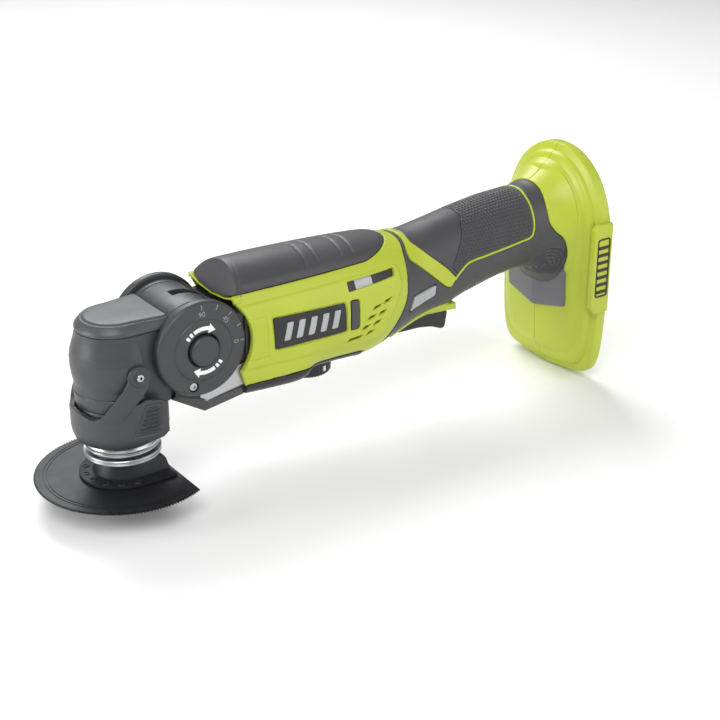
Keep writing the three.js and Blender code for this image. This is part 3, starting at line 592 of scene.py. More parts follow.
def green_region(side):
    def region(x, y, z):
        d = all_of(
            side * y - SEAM, front_room(x, z), -inside(HANDLE_OUTLINE, x, z) - JOINT_LINE,
            -grip_region(x, y, z) - JOINT_LINE, -inside(SKIRT, x, z) - JOINT_LINE, -inside(SLOT, x, z),
            -inside(PAD, x, z) - 0.25, np.where(z < -20, np.hypot(x - WHEEL_X, y) - WHEEL_ROOM, FAR))
        for place in VENTS:
            d = np.minimum(d, -inside(vent(*place), x, z))
        return d
    return region


def step_up(d, width):
    """Rises smoothly from 0 to 1 over width."""
    t = np.clip(d / width + 0.5, 0, 1)
    return t * t * (3 - 2 * t)


def green_lift(x, y, z, d):
    panel = 0.55 * step_up(inside(PANEL, x, z), 1.4)
    frame_line = 0.4 * np.exp(-(inside(FRAME, x, z) / 0.45) ** 2)
    seat = 0.9 * step_up(inside(BADGE, x, z) + 0.5, 0.5)
    return panel - frame_line - seat


def build_shells():
    for name, side in SIDES:
        front = skin(green_region(side), green_lift, SHELL_FRONT, 126, depth=2.2, step=0.45, sides=420)
        shoulder = skin(lambda x, y, z: all_of(side * y - SEAM, inside(SHOULDER, x, z) - JOINT_LINE,
                                               228.6 - x),
                        flat_lift(0.3), 212, 229, depth=2.2, step=0.6, sides=240)
        stripe = skin(lambda x, y, z: all_of(side * y - SEAM, inside(STRIPE, x, z)), flat_lift(0.55), 118,
                      156,
                      depth=1.2, step=0.35, sides=420, edge=0.6)
        piping = skin(lambda x, y, z: all_of(side * y + 0.05, 0.55 - line_distance(PIPING, x, z)),
                      flat_lift(0.35),
                      148, 210, depth=1.0, step=0.3, sides=460, edge=0.35)
        rail = skin(lambda x, y, z: all_of(side * y - 12.2, inside(RAIL, x, z)), flat_lift(0.8), 106, 158,
                    depth=1.6, step=0.4, sides=420, edge=0.6)
        rail_end = slab([(128, -17.2), (140, -15.6), (155.2, -16.2), (155.6, -19.9), (148, -19.2),
                         (139, -18.8)], 11.6,
                        16.4, "y", edge=0.8)
        shapes = joined(front, shoulder, stripe, piping, rail, on_side(rail_end, side),
                        dock_half(side))
        piece(f"shell_{name}", *shapes, LIME, "tool_body", "lime_shell", [f"housing_{name}"])


def build_shade_sheets():
    """Dark sheets behind the vents and the ends of the slot, painted shade for the dark inside of the
    housing seen through them, and the bright plate seen in the slot's middle.
    """
    for name, side in SIDES:
        # Painted shade: a dark sheet just under the vent openings and slot ends, where the inside of the
        # housing falls dark.
        shade_sheet = skin(lambda x, y, z: all_of(side * y - 5, inside(SHADE_SHEET, x, z), -inside(WINDOW, x, z)),
                     flat_lift(-1.1), 77, 114, depth=1.9, step=1.0, sides=200, edge=0)
        piece(f"vent_shade_sheet_{name}", *shade_sheet, DARK, "tool_body", "dark_plastic")
        bright = skin(side_patch(side, WINDOW), flat_lift(-1.3), 84, 97, depth=2.1,
                      step=0.8, sides=200, edge=0)
        piece(f"slot_plate_{name}", *bright, SILVER, "tool_body", "steel")


def line_distance(line, x, z):
    """Distance to an open polyline."""
    away = np.full(x.shape, 1e9)
    for (ax, az), (bx, bz) in zip(line[:-1], line[1:]):
        dx, dz = bx - ax, bz - az
        t = np.clip(((x - ax) * dx + (z - az) * dz) / (dx * dx + dz * dz + 1e-12), 0, 1)
        away = np.minimum(away, np.hypot(x - ax - t * dx, z - az - t * dz))
    return away


# ---------------------------------------------------------------- battery dock

DOCK_LOW, DOCK_HIGH = node_box("housing_left")
DOCK_REAR, DOCK_BOTTOM, DOCK_TOP = float(DOCK_HIGH[0]), float(DOCK_LOW[2]), float(DOCK_HIGH[2])
DOCK_HALF = 39.0
PLATE_X = 224.0         # crease of the dock's front plate
DOCK_CORNERS = [(0, 1), (0.36, 0.955), (0.7, 0.8), (0.92, 0.56), (1, 0.3), (1, 0.05), (1, -0.2),
                (0.985, -0.5),
                (0.94, -0.76), (0.84, -0.9), (0.66, -0.955), (0.3, -0.985)]
DOCK_LOOP = smooth_line([*DOCK_CORNERS, (0, -1), *[(-y, z) for y, z in reversed(DOCK_CORNERS[1:])]], 7,
                        closed=True)


def plate_lean(y, z):
    """How far the dock's front plate lies back from its middle crease."""
    return 0.1 * np.abs(y) + 0.07 * np.maximum(0, -18 - z)


def dock_ring(x, side, up, down, lean=0.0):
    low, high = DOCK_BOTTOM + down, DOCK_TOP - up
    middle, half = (low + high) / 2, (high - low) / 2
    ring = [(v[0] * (DOCK_HALF - side), middle + v[1] * half) for v in DOCK_LOOP]
    return [(x + lean * plate_lean(y, z), y, z) for y, z in ring]


DOCK_LAYERS = [
    (DOCK_REAR, 1.6, 1.6, 1.6, 0), (DOCK_REAR - 0.4, 0.6, 0.6, 0.6, 0), (DOCK_REAR - 1.4, 0, 0, 0, 0),
    (237.4, 0, 0, 0, 0), (236.4, 0.35, 0.35, 0.5, 0), (235.8, 1.3, 1.3, 1.6, 0), (235.4, 3.0, 3.0, 3.6, 0),
    (234.9, 3.9, 3.9, 4.6, 0), (233.6, 4.2, 4.2, 5.2, 0), (232.4, 4.8, 4.8, 5.8, 0),
    (231.6, 5.8, 5.8, 7.4, 0),
    (231.2, 7.2, 7.2, 9.4, 0), (230.6, 8.0, 8.0, 10.4, 0.12), (229.2, 8.5, 8.5, 11.2, 0.35),
    (226.8, 9.3, 9.3, 12.2, 0.75), (225.2, 10.4, 10.4, 13.4, 0.95), (224.3, 12.2, 12.2, 15.2, 1),
    (PLATE_X, 15, 15, 18, 1), (PLATE_X, 21, 26, 26, 1), (PLATE_X, 28, 42, 42, 1), (PLATE_X, 34, 52, 54, 1),
]


def dock_half(side):
    body = rings_shape([dock_ring(*layer) for layer in DOCK_LAYERS])
    recess = rings_shape([dock_ring(234.2, 10, 10, 12), dock_ring(238, 6, 6, 8),
                          dock_ring(DOCK_REAR + 5, 4, 4, 4)])
    reach = 70
    other_half = rect(-reach, -90, SEAM, 80) if side > 0 else rect(-SEAM, -90, reach, 80)
    other = slab(other_half, 180, 260, "x", edge=0)
    socket = slab(rect(-14, -4, 14, 25), 200, 260, "x", edge=0)
    half = carved(body, recess, socket, other)
    step = slab([(229.6, 14.5), (232.4, 17), (241.6, 17), (242.4, 16), (242.4, -33), (241.6, -34),
                 (232.6, -34),
                 (229.6, -30)], 36.5, 40.4, "y", edge=0.7)
    pocket = slab(rect(231.6, -24.6, 241.2, 9.4), 40.0, 42, "y", edge=0, corner=1.8)
    step = carved(step, pocket)
    return joined(half, on_side(step, side))


def build_dock_marks():
    """Plain raised bars in the side pockets of the dock: no lettering."""
    bars = [slab(rect(233.0, z, 239.8, z + 1.7), 39.6, 40.5, "y", 0.25)
            for z in np.arange(-22.2, 6, 4.2)]
    rim = carved(slab(rect(232.0, -24.2, 240.8, 9.0), 39.7, 40.35, "y", 0.1, corner=1.6),
                 slab(rect(232.7, -23.5, 240.1, 8.3), 39, 41, "y", 0, corner=1.2))
    for name, side in SIDES:
        marks = on_side(joined(*bars, rim), side)
        piece(f"dock_mark_{name}", *marks, DARK, "tool_body", "dark_plastic")


def plate_patch(outline, thickness, step=0.8, edge=0.7):
    """A pad that follows the dock's front plate inside a y, z outline."""
    yy, zz = np.meshgrid(np.arange(-30, 30.1, step), np.arange(-46, 14.1, step))
    points = np.stack([PLATE_X + plate_lean(yy, zz), yy, zz], axis=2)
    normals = np.broadcast_to(np.array([-1.0, 0, 0]), points.shape)
    return sheet(points, normals, inside(outline, yy, zz), lambda p, d: thickness + 0 * d, lambda p, d: 0.6,
                 edge)


# ---------------------------------------------------------------- grips and trim of the body

def ridge_lines(x):
    """Pairs of shallow lines across the top grip."""
    return sum(np.exp(-((x - place) / 0.55) ** 2) for place in (64.4, 71.2, 85.8, 92.6))


NOSE_FRONT = 18.2     # foremost point of the top grip
NOSE_BOTTOM = 16.8    # lowest point of its front face
NOSE_SLOPE = 0.46
NOSE_DEPTH = 5.0


def build_top_grip():
    def lift(x, y, z, d):
        crown = 0.9 * step_up(d - 1.2, 2.4)
        return crown - 0.5 * ridge_lines(x + 0.14 * np.abs(y)) * step_up(d - 3, 1)

    def slope(z):
        """Where the grip's front face begins: it leans back towards the top."""
        return NOSE_FRONT + NOSE_SLOPE * (z - NOSE_BOTTOM)

    cover = skin(lambda x, y, z: all_of(grip_region(x, y, z) - 0.05, x - slope(z) - 1.2), lift, NOSE_FRONT,
                 119,
                 depth=2.0, step=0.5, sides=360, edge=0.7)
    ring, normal = [v[0] for v in body_grid(np.array([22.0, 24.0]), 240)]
    upper = ring[:, 2] > GRIP_LINE + 0.6
    top = sorted(map(tuple, (ring + 0.8 * normal)[upper][:, 1:]))
    outline = [*top, (18.6, 19.8), (12, NOSE_BOTTOM + 0.8), (0, NOSE_BOTTOM), (-12, NOSE_BOTTOM + 0.8),
               (-18.6, 19.8)]
    nose, faces = slab(outline, 0, NOSE_DEPTH, "x", edge=1.1, steps=4)
    nose[:, 0] += NOSE_FRONT + NOSE_SLOPE * (nose[:, 2] - NOSE_BOTTOM)
    piece("grip_cover", *joined(cover, (nose, faces)), RUBBER, "tool_body", "rubber_grip", ["top_grip"])
    rim = [(21.2, 19.9), (18.9, 19.2), (12.2, 17.2), (0, 16.2), (-12.2, 17.2), (-18.9, 19.2), (-21.2, 19.9)]
    lip = slab([*rim, (-21.4, 17.2), (-18.6, 18.1), (-12.2, 16.5), (0, 15.5), (12.2, 16.5), (18.6, 18.1),
                (21.4, 17.2)], NOSE_FRONT + 0.5, 22.6, "x", edge=0.25)
    piece("front_lip", *lip, LIME, "tool_body", "lime_shell")
    wall = slab([(-23, -12), (-23, 12), (-19.5, 19.5), (19.5, 19.5), (23, 12), (23, -12)], 23.2, 24.6, "x",
                edge=0.3)
    hole = rod(19, 10, 40, "x", sides=48)
    piece("front_wall", *carved(wall, hole), DARK, "tool_body", "dark_plastic")


BOSS_AT = (216.0, -6.0)   # stepped cone where the handle meets the dock, as x, z
KNURL_PITCH = 1.95
TRIGGER_HALF = 13.6       # half width of the gap that the trigger sits in


def beside_trigger(x, y, z, rear, gap=0.0):
    """Positive outside the gap that the trigger sits in."""
    return np.where((z < -9) & (x > 112) & (x < rear), np.abs(y) - TRIGGER_HALF - gap, FAR)


def build_handle():
    def region(x, y, z):
        stripe_room = -inside(STRIPE, x, z) - 0.1
        return all_of(
            inside(HANDLE_OUTLINE, x, z) - JOINT_LINE, -inside(SHOULDER, x, z) - JOINT_LINE, stripe_room,
            line_distance(PIPING, x, z) - 0.65, -inside(KNURL_ZONE, x, z), -inside(LOCK_BUTTON, x, z) - 0.6,
            -inside(RAIL, x, z) - 0.1, beside_trigger(x, y, z, 153.6))

    def lift(x, y, z, d):
        r = np.hypot(x - BOSS_AT[0], (z - BOSS_AT[1]) * 1.05)
        cone = 2.4 * np.clip(1 - r / 10.5, 0, 1) ** 0.8
        rings = 0.42 * np.cos(2 * np.pi * r / 1.9) * step_up(10.0 - r, 2.0)
        lower_side = step_up(-4.5 - z, 1) * step_up(x - 166, 2) * step_up(200 - x, 2)
        flutes = 0.2 * np.cos(2 * np.pi * (x + z) / 2.1) * lower_side
        return 0.1 * step_up(d - 0.6, 1.2) + cone + rings + flutes

    smooth_rubber = skin(region, lift, 94, 227, depth=2.0, step=0.5, sides=400)

    def knurl_region(x, y, z):
        return all_of(inside(KNURL_ZONE, x, z), line_distance(PIPING, x, z) - 0.65)

    def knurl_lift(x, y, z, d):
        around = np.arctan2(z - 9, np.abs(y)) * 22.0
        turn = np.pi / KNURL_PITCH
        dots = (np.sin(turn * (x + 0.3 * around)) * np.sin(turn * around)) ** 2
        return 0.1 + (0.6 * dots - 0.25) * step_up(d - 0.9, 0.8)

    knurl = skin(knurl_region, knurl_lift, 147, 209, depth=1.4, step=0.3, sides=540, edge=0.4)
    block = plate_patch(soften([(-23.4, 12), (-22.8, -33.6), (0, -38.8), (22.8, -33.6), (23.4, 12)], 1.5,
                               closed=True),
                        1.7)
    piece("handle_cover", *smooth_rubber, RUBBER, "tool_body", "rubber_grip", ["handle_grip"])
    piece("dock_pad", *block, PLATE_GREY, "tool_body", "rubber_grip")
    piece("knurled_grip", *knurl, KNURL, "tool_body", "rubber_grip")
    bed = skin(lambda x, y, z: all_of(inside(HANDLE_OUTLINE, x, z) + 1, 227 - x,
                                      beside_trigger(x, y, z, 154, 0.8), -inside(LOCK_BUTTON, x, z) - 1.4),
               flat_lift(-1.2), 94, 227, depth=2.2, step=1.5, sides=160, edge=0)
    piece("handle_bed", *bed, DARK, "tool_body", "dark_plastic")


def build_badges():
    for name, side in SIDES:
        plate = skin(side_patch(side, BADGE, 0.1), flat_lift(0.35), 35, 80,
                     depth=1.0, step=0.4, sides=420, edge=0.45)
        piece(f"badge_plate_{name}", *plate, DARK, "tool_body", "dark_plastic", [f"badge_{name}"])
        bars = []
        for k in range(5):
            x0 = 42 + 6.6 * k
            outline = soften([(x0, -5.4), (x0 + 3.4, -5.4), (x0 + 5.6, 3.4), (x0 + 2.2, 3.4)], 0.5,
                             closed=True)
            bars.append(skin(side_patch(side, outline), flat_lift(0.6), 40, 76,
                             depth=0.2, step=0.4, sides=420, edge=0.2))
        piece(f"badge_bars_{name}", *joined(*bars), SILVER, "tool_body", "bare_casting")
        pad = skin(side_patch(side, PAD, 0.05), flat_lift(0.95), 78, 87, depth=1.2,
                   step=0.35, sides=420, edge=0.7)
        piece(f"side_pad_{name}", *pad, RUBBER, "tool_body", "rubber_grip")


def build_skirt():
    skirt = skin(lambda x, y, z: all_of(inside(SKIRT, x, z) - 0.05, front_room(x, z),
                                        np.hypot(x - WHEEL_X, y) - WHEEL_ROOM), flat_lift(0.45), 20, 90,
                 depth=2.2, step=0.5,
                 sides=360, edge=0.6)
    piece("skirt_cover", *skirt, DARK, "tool_body", "dark_plastic", ["lower_skirt"])


def build_lock_buttons():
    for name, side in SIDES:
        def lift(x, y, z, d):
            return 0.7 + 0.22 * np.cos(2 * np.pi * (x - 0.25 * z) / 2.0) * step_up(d - 0.9, 0.6)

        button = skin(side_patch(side, LOCK_BUTTON), lift, 116, 141, depth=3.0,
                      step=0.3, sides=460, edge=0.5, across=side)
        piece(f"lock_cover_{name}", *button, SILVER, f"lock_{name}", "bare_casting",
              [f"lock_button_{name}"])


# ---------------------------------------------------------------- trigger and speed wheel

def build_trigger():
    low, high = node_box("trigger")
    half = TRIGGER_HALF - 0.5
    front, rear = float(low[0]), float(high[0])
    side_view = soften([(front + 1.6, -19.6), (front - 1.6, -23.8), (front + 4.0, -26.0), (133.4, -26.4),
                        (141.8, -27.8), (148.6, -30.6), (rear - 1.6, -30.0), (rear, -21), (146, -17.6),
                        (134, -17.2)], 1.6, closed=True)
    body = slab(side_view, -half, half, "y", edge=1.8, steps=4)
    piece("trigger_cover", *body, DARK, "trigger_body", "dark_plastic", ["trigger"])


def build_speed_wheel():
    low, high = node_box("speed_dial")
    center = (low + high) / 2
    radius = float(high[0] - center[0])
    ribs = 44
    rings = []
    for r_in, z in ((1.6, low[2]), (0.5, low[2] + 0.5), (0.0, low[2] + 1.2), (0.0, high[2] - 1.2),
                    (0.6, high[2] - 0.5),
                    (1.6, high[2])):
        ring = []
        for k in range(ribs * 6):
            t = 2 * math.pi * k / (ribs * 6)
            wave = 0.42 * (0.5 + 0.5 * math.cos(ribs * t)) ** 0.5
            r = radius - r_in - 0.45 + wave
            ring.append((center[0] + r * math.cos(t), r * math.sin(t), z))
        rings.append(ring)
    bore = rod(2.4, -60, 0, "z", center=(center[0], 0), sides=32)
    piece("speed_wheel_cover", *carved(rings_shape(rings), bore), DARK, "speed_wheel", "dark_plastic",
          ["speed_dial"])
    marks = []
    for k in range(6):
        t = math.radians(-120 + 45 * k)
        c, s = math.cos(t), math.sin(t)
        plate = slab(rect(-0.8, -1.3, 0.8, 1.3), radius - 0.5, radius + 0.12, "x", edge=0.1)
        points = np.array(plate[0])
        middle = (low[2] + high[2]) / 2
        turned = np.stack([center[0] + points[:, 0] * c - points[:, 1] * s,
                           points[:, 0] * s + points[:, 1] * c,
                           middle + points[:, 2]], axis=1)
        marks.append((turned, plate[1]))
    piece("speed_marks", *joined(*marks), WHITE, "speed_wheel", "bare_casting")


# ---------------------------------------------------------------- nose and chin

REACH = 40            # half length of the cutters that pass right through
DRUM_R = 20.75        # the head's drum
SADDLE_R = 21.6       # outside of the saddle that the drum turns in
SADDLE_ROOM = 21.85   # clearance of the head round the saddle


def saddle_room():
    return rod(SADDLE_ROOM, -REACH, REACH, sides=128)


def build_nose():
    half = 18.4
    drum_arm = rod(20.8, 14.9, half, sides=128, round_by=0.5)
    saddle_line = [*arc(SADDLE_R, 56, -105, 60), *arc(20.9, -105, 56, 60)]
    saddle = slab(saddle_line, -half, half, "y", edge=0.25, steps=2)
    block = slab([(12, 12), (46, 12.2), (46, -13.2), (12, -13.2)], -21.5, 21.5, "y", edge=1.2)
    hole = rod(20.95, -REACH, REACH, sides=96)
    motor_way = rod(7.8, 10, 60, "x", sides=32)
    pin_way = rod(4.2, -REACH, REACH, sides=32)
    arms = carved(drum_arm, pin_way)
    shape = joined(arms, flipped(arms), saddle, carved(block, hole, motor_way))
    piece("gear_case_cover", *shape, CASTING, "tool_body", "head_casting", ["gear_case"])


def chin_ring(x, top, side, bottom, half, inner):
    return [(x, half, top), (x, half, side), (x, inner, bottom), (x, -inner, bottom), (x, -half, side),
            (x, -half, top)]


def build_chin():
    room = rod(22.3, -REACH, REACH, sides=128)
    column_room = rod(23.6, -60, 30, "z", center=(SPINDLE_X, 0), sides=96)
    upper = rings_shape([chin_ring(-14, -16, -21.2, -23.6, 17.0, 13.5),
                         chin_ring(3.6, -16, -27.4, -32.6, 20.4, 16),
                         chin_ring(17.6, -13.6, -24.6, -30, 21.5, 17),
                         chin_ring(24, -13.4, -23.6, -28.6, 22, 17.5)])
    piece("chin_casting", *carved(upper, room, column_room), CAST, "tool_body", "bare_casting",
          ["nose_chin"],
          sharp=20)
    lower = rings_shape([chin_ring(-13.4, -16.5, -22.2, -25.0, 19.8, 15.5),
                         chin_ring(4.2, -25, -28.4, -36, 19.6, 15),
                         chin_ring(18, -23, -26.6, -33.4, 20.6, 16),
                         chin_ring(24.5, -22, -26.2, -31.8, 21.3, 17)])
    piece("chin_guard", *carved(lower, room, column_room), DARK, "tool_body", "dark_plastic", sharp=20)


# ---------------------------------------------------------------- tilting head

COLUMN = [
    (0, -42.4), (17.2, -42.4), (19.0, -41.4), (19.5, -39), (19.5, -25.2), (19.0, -24.6), (19.0, -24.2),
    (20.1, -23.6),
    (20.35, -20.6), (20.45, -17.6), (20.0, -17.2), (20.0, -16.8), (20.4, -16.4), (19.95, -14.1),
    (20.0, -13.5),
    (20.5, -11.4), (21.0, -8.2), (21.3, -4.6), (21.25, -0.8), (20.6, 2.6), (19.5, 5.9), (18.6, 8.9),
    (18.05, 11.2),
    (17.9, 12.3), (0, 12.3),
]


def build_head():
    column = lathe(COLUMN, "z", center=(SPINDLE_X, 0), sides=160, round_by=0.35)
    cheeks = []
    for side in (-1, 1):
        outline = [(-32.5, 16), (-30.0, 8), (-29.0, -3), (-29.6, -13), (-28.4, -24.1), (0, -24.1), (0, 16)]
        low, high = (17.4, 40) if side > 0 else (-40, -17.4)
        cheeks.append(slab(outline, low, high, "y", edge=0))
    drum_room = rod(20.9, -REACH, REACH, sides=128)
    column = carved(column, *cheeks, drum_room)
    neck = slab([(-34, 12.3), (-12, 12.3), (-12, -19), (-15, -24), (-18, -24.4), (-34, -24.4)], -17.8, 17.8,
                "y",
                edge=0.8)
    drum = rod(DRUM_R, -14.6, 14.6, sides=160, round_by=0.4)
    web = slab(rect(-24, 11.6, -12, -15), -14.4, 14.4, "y", edge=0.4)
    rear = slab([(-18, -25.5), (-10.2, -26.6), (-9.8, -27.6), (-9.8, -40.6), (-10.6, -41.6), (-18, -41.9)],
                -6.2, 6.2,
                "y", edge=0.8)
    shoe = slab([(-30, -24.4), (-14.6, -24.4), (-14.2, -41.6), (-30, -42)], -15.4, 15.4, "y", edge=2.0,
                steps=4)
    shaft_way = slab([(0, -3), (30, -3), (26, 26), (-3, 30), (-3, 0)], -2.9, 2.9, "y", edge=0)
    drum = carved(drum, shaft_way)
    shape = joined(column, carved(neck, saddle_room()), drum, web, rear, shoe)
    piece("head_cover", *shape, CASTING, "head", "head_casting", ["head_housing"])


def cap_ring(z, radius, rear, wide, steps=60):
    """The cap's outline: a round front that widens to the drum."""
    front = arc(radius, 90, 270, steps, (SPINDLE_X, 0))
    side = [(SPINDLE_X + (rear - SPINDLE_X) * t, -radius - (wide - radius) * (3 * t**2 - 2 * t**3))
            for t in np.linspace(0.04, 1, 12)]
    back = [(rear, -wide + 2 * wide * t) for t in np.linspace(0.04, 0.96, 24)]
    other = [(x, -y) for x, y in reversed(side)]
    return [(x, y, z) for x, y in [*front, *side, *back, *other]]


def build_cap():
    levels = [(12.55, 17.5, -13.6, 18.2), (12.7, 17.9, -13.4, 18.6), (13.2, 18.1, -13.4, 18.9),
              (14.2, 17.9, -13.4, 18.9),
              (14.7, 17.6, -13.5, 18.8), (16.7, 15.9, -13.7, 17.6), (17.2, 15.3, -13.8, 17.1),
              (17.35, 14.8, -13.8, 16.7),
              (17.3, 14.4, -13.8, 16.4), (17.75, 13.9, -13.8, 15.9), (18.1, 13.2, -13.9, 15.2),
              (18.2, 12.0, -14, 14),
              (18.25, 8.0, -16, 10), (18.28, 3.0, -24, 4)]
    cap = rings_shape([cap_ring(*level) for level in levels])
    piece("cap_cover", *carved(cap, saddle_room()), CAP_GREY, "head", "head_casting", ["head_cap"],
          sharp=24)


DIAL_R, DIAL_IN, DIAL_FACE = 23.2, 19.0, 24.1
DIAL_FLOOR = 20.9     # bottom of the well that holds the button
NUMBER_R = 17.3
ARROW_R = 10.9
SCREW_AT = (-5.6, -17.6)


def digits(text, x, z, size, turn):
    """Raised numerals on the left dial's face, turned about their middle."""
    curve = bpy.data.curves.new("numerals", "FONT")
    curve.body = text
    curve.size = size
    curve.extrude = 0.16
    curve.resolution_u = 4
    curve.align_x = "CENTER"
    curve.align_y = "CENTER"
    obj = bpy.data.objects.new("numerals", curve)
    scene.collection.objects.link(obj)
    points, faces = mesh_of(obj)
    bpy.data.objects.remove(obj)
    bpy.data.curves.remove(curve)
    c, s = math.cos(turn), math.sin(turn)
    u = points[:, 0] * c - points[:, 1] * s
    v = points[:, 0] * s + points[:, 1] * c
    return np.stack([x + u, -DIAL_FACE - 0.1 - points[:, 2], z + v], axis=1), faces


def arrow(start, end, radius, y):
    """A curved arrow at positive y from start to end, in degrees, with two dashes behind it."""
    half = 1.05
    turn = -1 if end < start else 1
    dashes = []
    for k in range(2):
        a = start + turn * k * 12
        dashes.append(slab([*arc(radius + half, a, a + turn * 7.5, 3),
                            *arc(radius - half, a + turn * 7.5, a, 3)],
                           y, y + 0.35, "y", edge=0.05))
    a, neck, tip = start + turn * 24, end - turn * 14, end + turn * 4
    stem = [*arc(radius + half * 0.9, a, neck, 8), *arc(radius + half * 2.2, neck, neck, 0),
            *arc(radius, tip, tip, 0), *arc(radius - half * 2.2, neck, neck, 0),
            *arc(radius - half * 0.9, neck, a, 8)]
    dashes.append(slab(stem, y, y + 0.35, "y", edge=0.05))
    return dashes


def star(center, outer, inner, points, low, high):
    """A cutter for a screw's recess."""
    radii = (outer, inner)
    return slab([(center[0] + radii[k % 2] * math.cos(k * math.pi / points),
                  center[1] + radii[k % 2] * math.sin(k * math.pi / points)) for k in range(2 * points)],
                low, high, "y", edge=0)


def build_dials():
    wheel = [(3.2, DIAL_IN), (DIAL_R - 0.7, DIAL_IN), (DIAL_R, DIAL_IN + 0.6), (DIAL_R, DIAL_FACE - 1.6),
             (DIAL_R - 0.9, DIAL_FACE - 0.25), (DIAL_R - 2.0, DIAL_FACE), (15.2, DIAL_FACE + 0.05),
             (14.6, DIAL_FACE + 0.75), (13.6, DIAL_FACE + 0.9), (8.6, DIAL_FACE + 0.9),
             (8.0, DIAL_FACE + 0.3),
             (8.0, DIAL_FLOOR), (3.2, DIAL_FLOOR)]
    shape = lathe(wheel, "y", sides=192, round_by=0.45, closed=True)
    screw_hole = rod(2.5, 17, 30, center=SCREW_AT, sides=32)
    shape = carved(shape, screw_hole)
    lugs = slab([*arc(22.2, 128, 228, 16), *arc(19.0, 228, 128, 14)], 17.6, DIAL_IN + 0.6, "y", edge=0.3)
    for name, side in SIDES:
        parts = [on_side(shape, side), on_side(lugs, side)]
        if name == "right":
            parts.append(lathe([(0, 21), (7.7, 21), (7.7, 25.6), (6.9, 26.3), (0, 26.5)], "y", sides=96,
                               round_by=0.4))
        marks = []
        for angle in (0, 22.5, 45, 67.5, 90):
            t = math.radians(angle)
            tick = slab(rect(19.6, -0.22, 21.8, 0.22), DIAL_FACE - 0.2, DIAL_FACE + 0.28,
                        "y", edge=0.06)
            p = np.array(tick[0])
            marks.append((np.stack([p[:, 0] * math.cos(t) - p[:, 2] * math.sin(t), p[:, 1],
                                    p[:, 0] * math.sin(t) + p[:, 2] * math.cos(t)], axis=1), tick[1]))
        for text, angle in (("0", 0), ("45", 45), ("90", 90)):
            t = math.radians(angle)
            number = digits(text, NUMBER_R * math.cos(t), NUMBER_R * math.sin(t), 3.6, t - math.pi / 2)
            marks.append(flipped(number))
        piece(f"dial_cover_{name}", *joined(*parts), CASTING, "head", "head_casting", [f"tilt_dial_{name}"])
        piece(f"dial_numbers_{name}", *on_side(joined(*marks), side), MARK_GREY, "head", "head_casting")
        arrows = [*arrow(141, 60, ARROW_R, DIAL_FACE + 0.8), *arrow(321, 240, ARROW_R, DIAL_FACE + 0.8)]
        piece(f"dial_arrows_{name}", *on_side(joined(*arrows), side), WHITE, "head", "bare_casting")
        screw = lathe([(0, 19.6), (2.2, 19.6), (2.2, 22.8), (1.9, 23.4), (0, 23.5)], "y", center=SCREW_AT,
                      sides=48,
                      round_by=0.2)
        screw = carved(screw, star(SCREW_AT, 1.3, 0.95, 6, 22.6, 25))
        piece(f"dial_screw_cover_{name}", *on_side(screw, side), STEEL, "head", "steel",
              [f"dial_screw_{name}"])
    button = lathe([(0, 23.6), (7.35, 23.6), (7.35, 26.2), (6.6, 27.0), (5.6, 27.2), (0, 27.25)], "y",
                   sides=96,
                   round_by=0.4)
    piece("lock_knob_cover", *flipped(button), CASTING, "head_button", "head_casting", ["head_lock_button"])


# ---------------------------------------------------------------- clamp lever

# The lever is one bent plate: two straight sides joined by a half circle round the head's front. Its
# outlines are w, z: w is the distance along the plate behind the spindle's axis, negative at the front.
LEVER_R = 21.6
LEVER_EYE = 5.4
LEVER_OUTLINE = [
    (-60, -23.4), (-34, -23.5), (-29.8, -24.4), (-25.4, -25.9), (-21.6, -26.1), (-18.8, -25.2),
    (-16.4, -22.6),
    (-12.0, -17.0), (-7.6, -11.4), *arc(LEVER_EYE, 192, -22, 18, (0, LEVER[2])), (4.2, -11.0), (1.4, -15.2),
    (-2.6, -18.8), (-0.6, -19.0), (2.6, -17.8), (10.8, -19.6), (12.8, -21.2), (13.4, -36.4), (11.0, -38.8),
    (0, -40.4), (-12, -41.2), (-60, -41.4)]
LEVER_ARM = [*arc(LEVER_EYE, 192, -22, 18, (0, LEVER[2])), (4.2, -11.0), (1.4, -15.2), (-3.6, -19.8),
             (-7.6, -24.2),
             (-9.6, -28.0), (-13.0, -28.6), (-19.6, -26.2), (-18.8, -25.2), (-16.4, -22.6), (-12.0, -17.0),
             (-7.6, -11.4)]
LEVER_PANEL = soften([(10.2, -21.4), (2.6, -20.6), (-3.9, -34.6), (9.4, -35.9)], 1.0, closed=True)
RIB_PITCH = 2.05


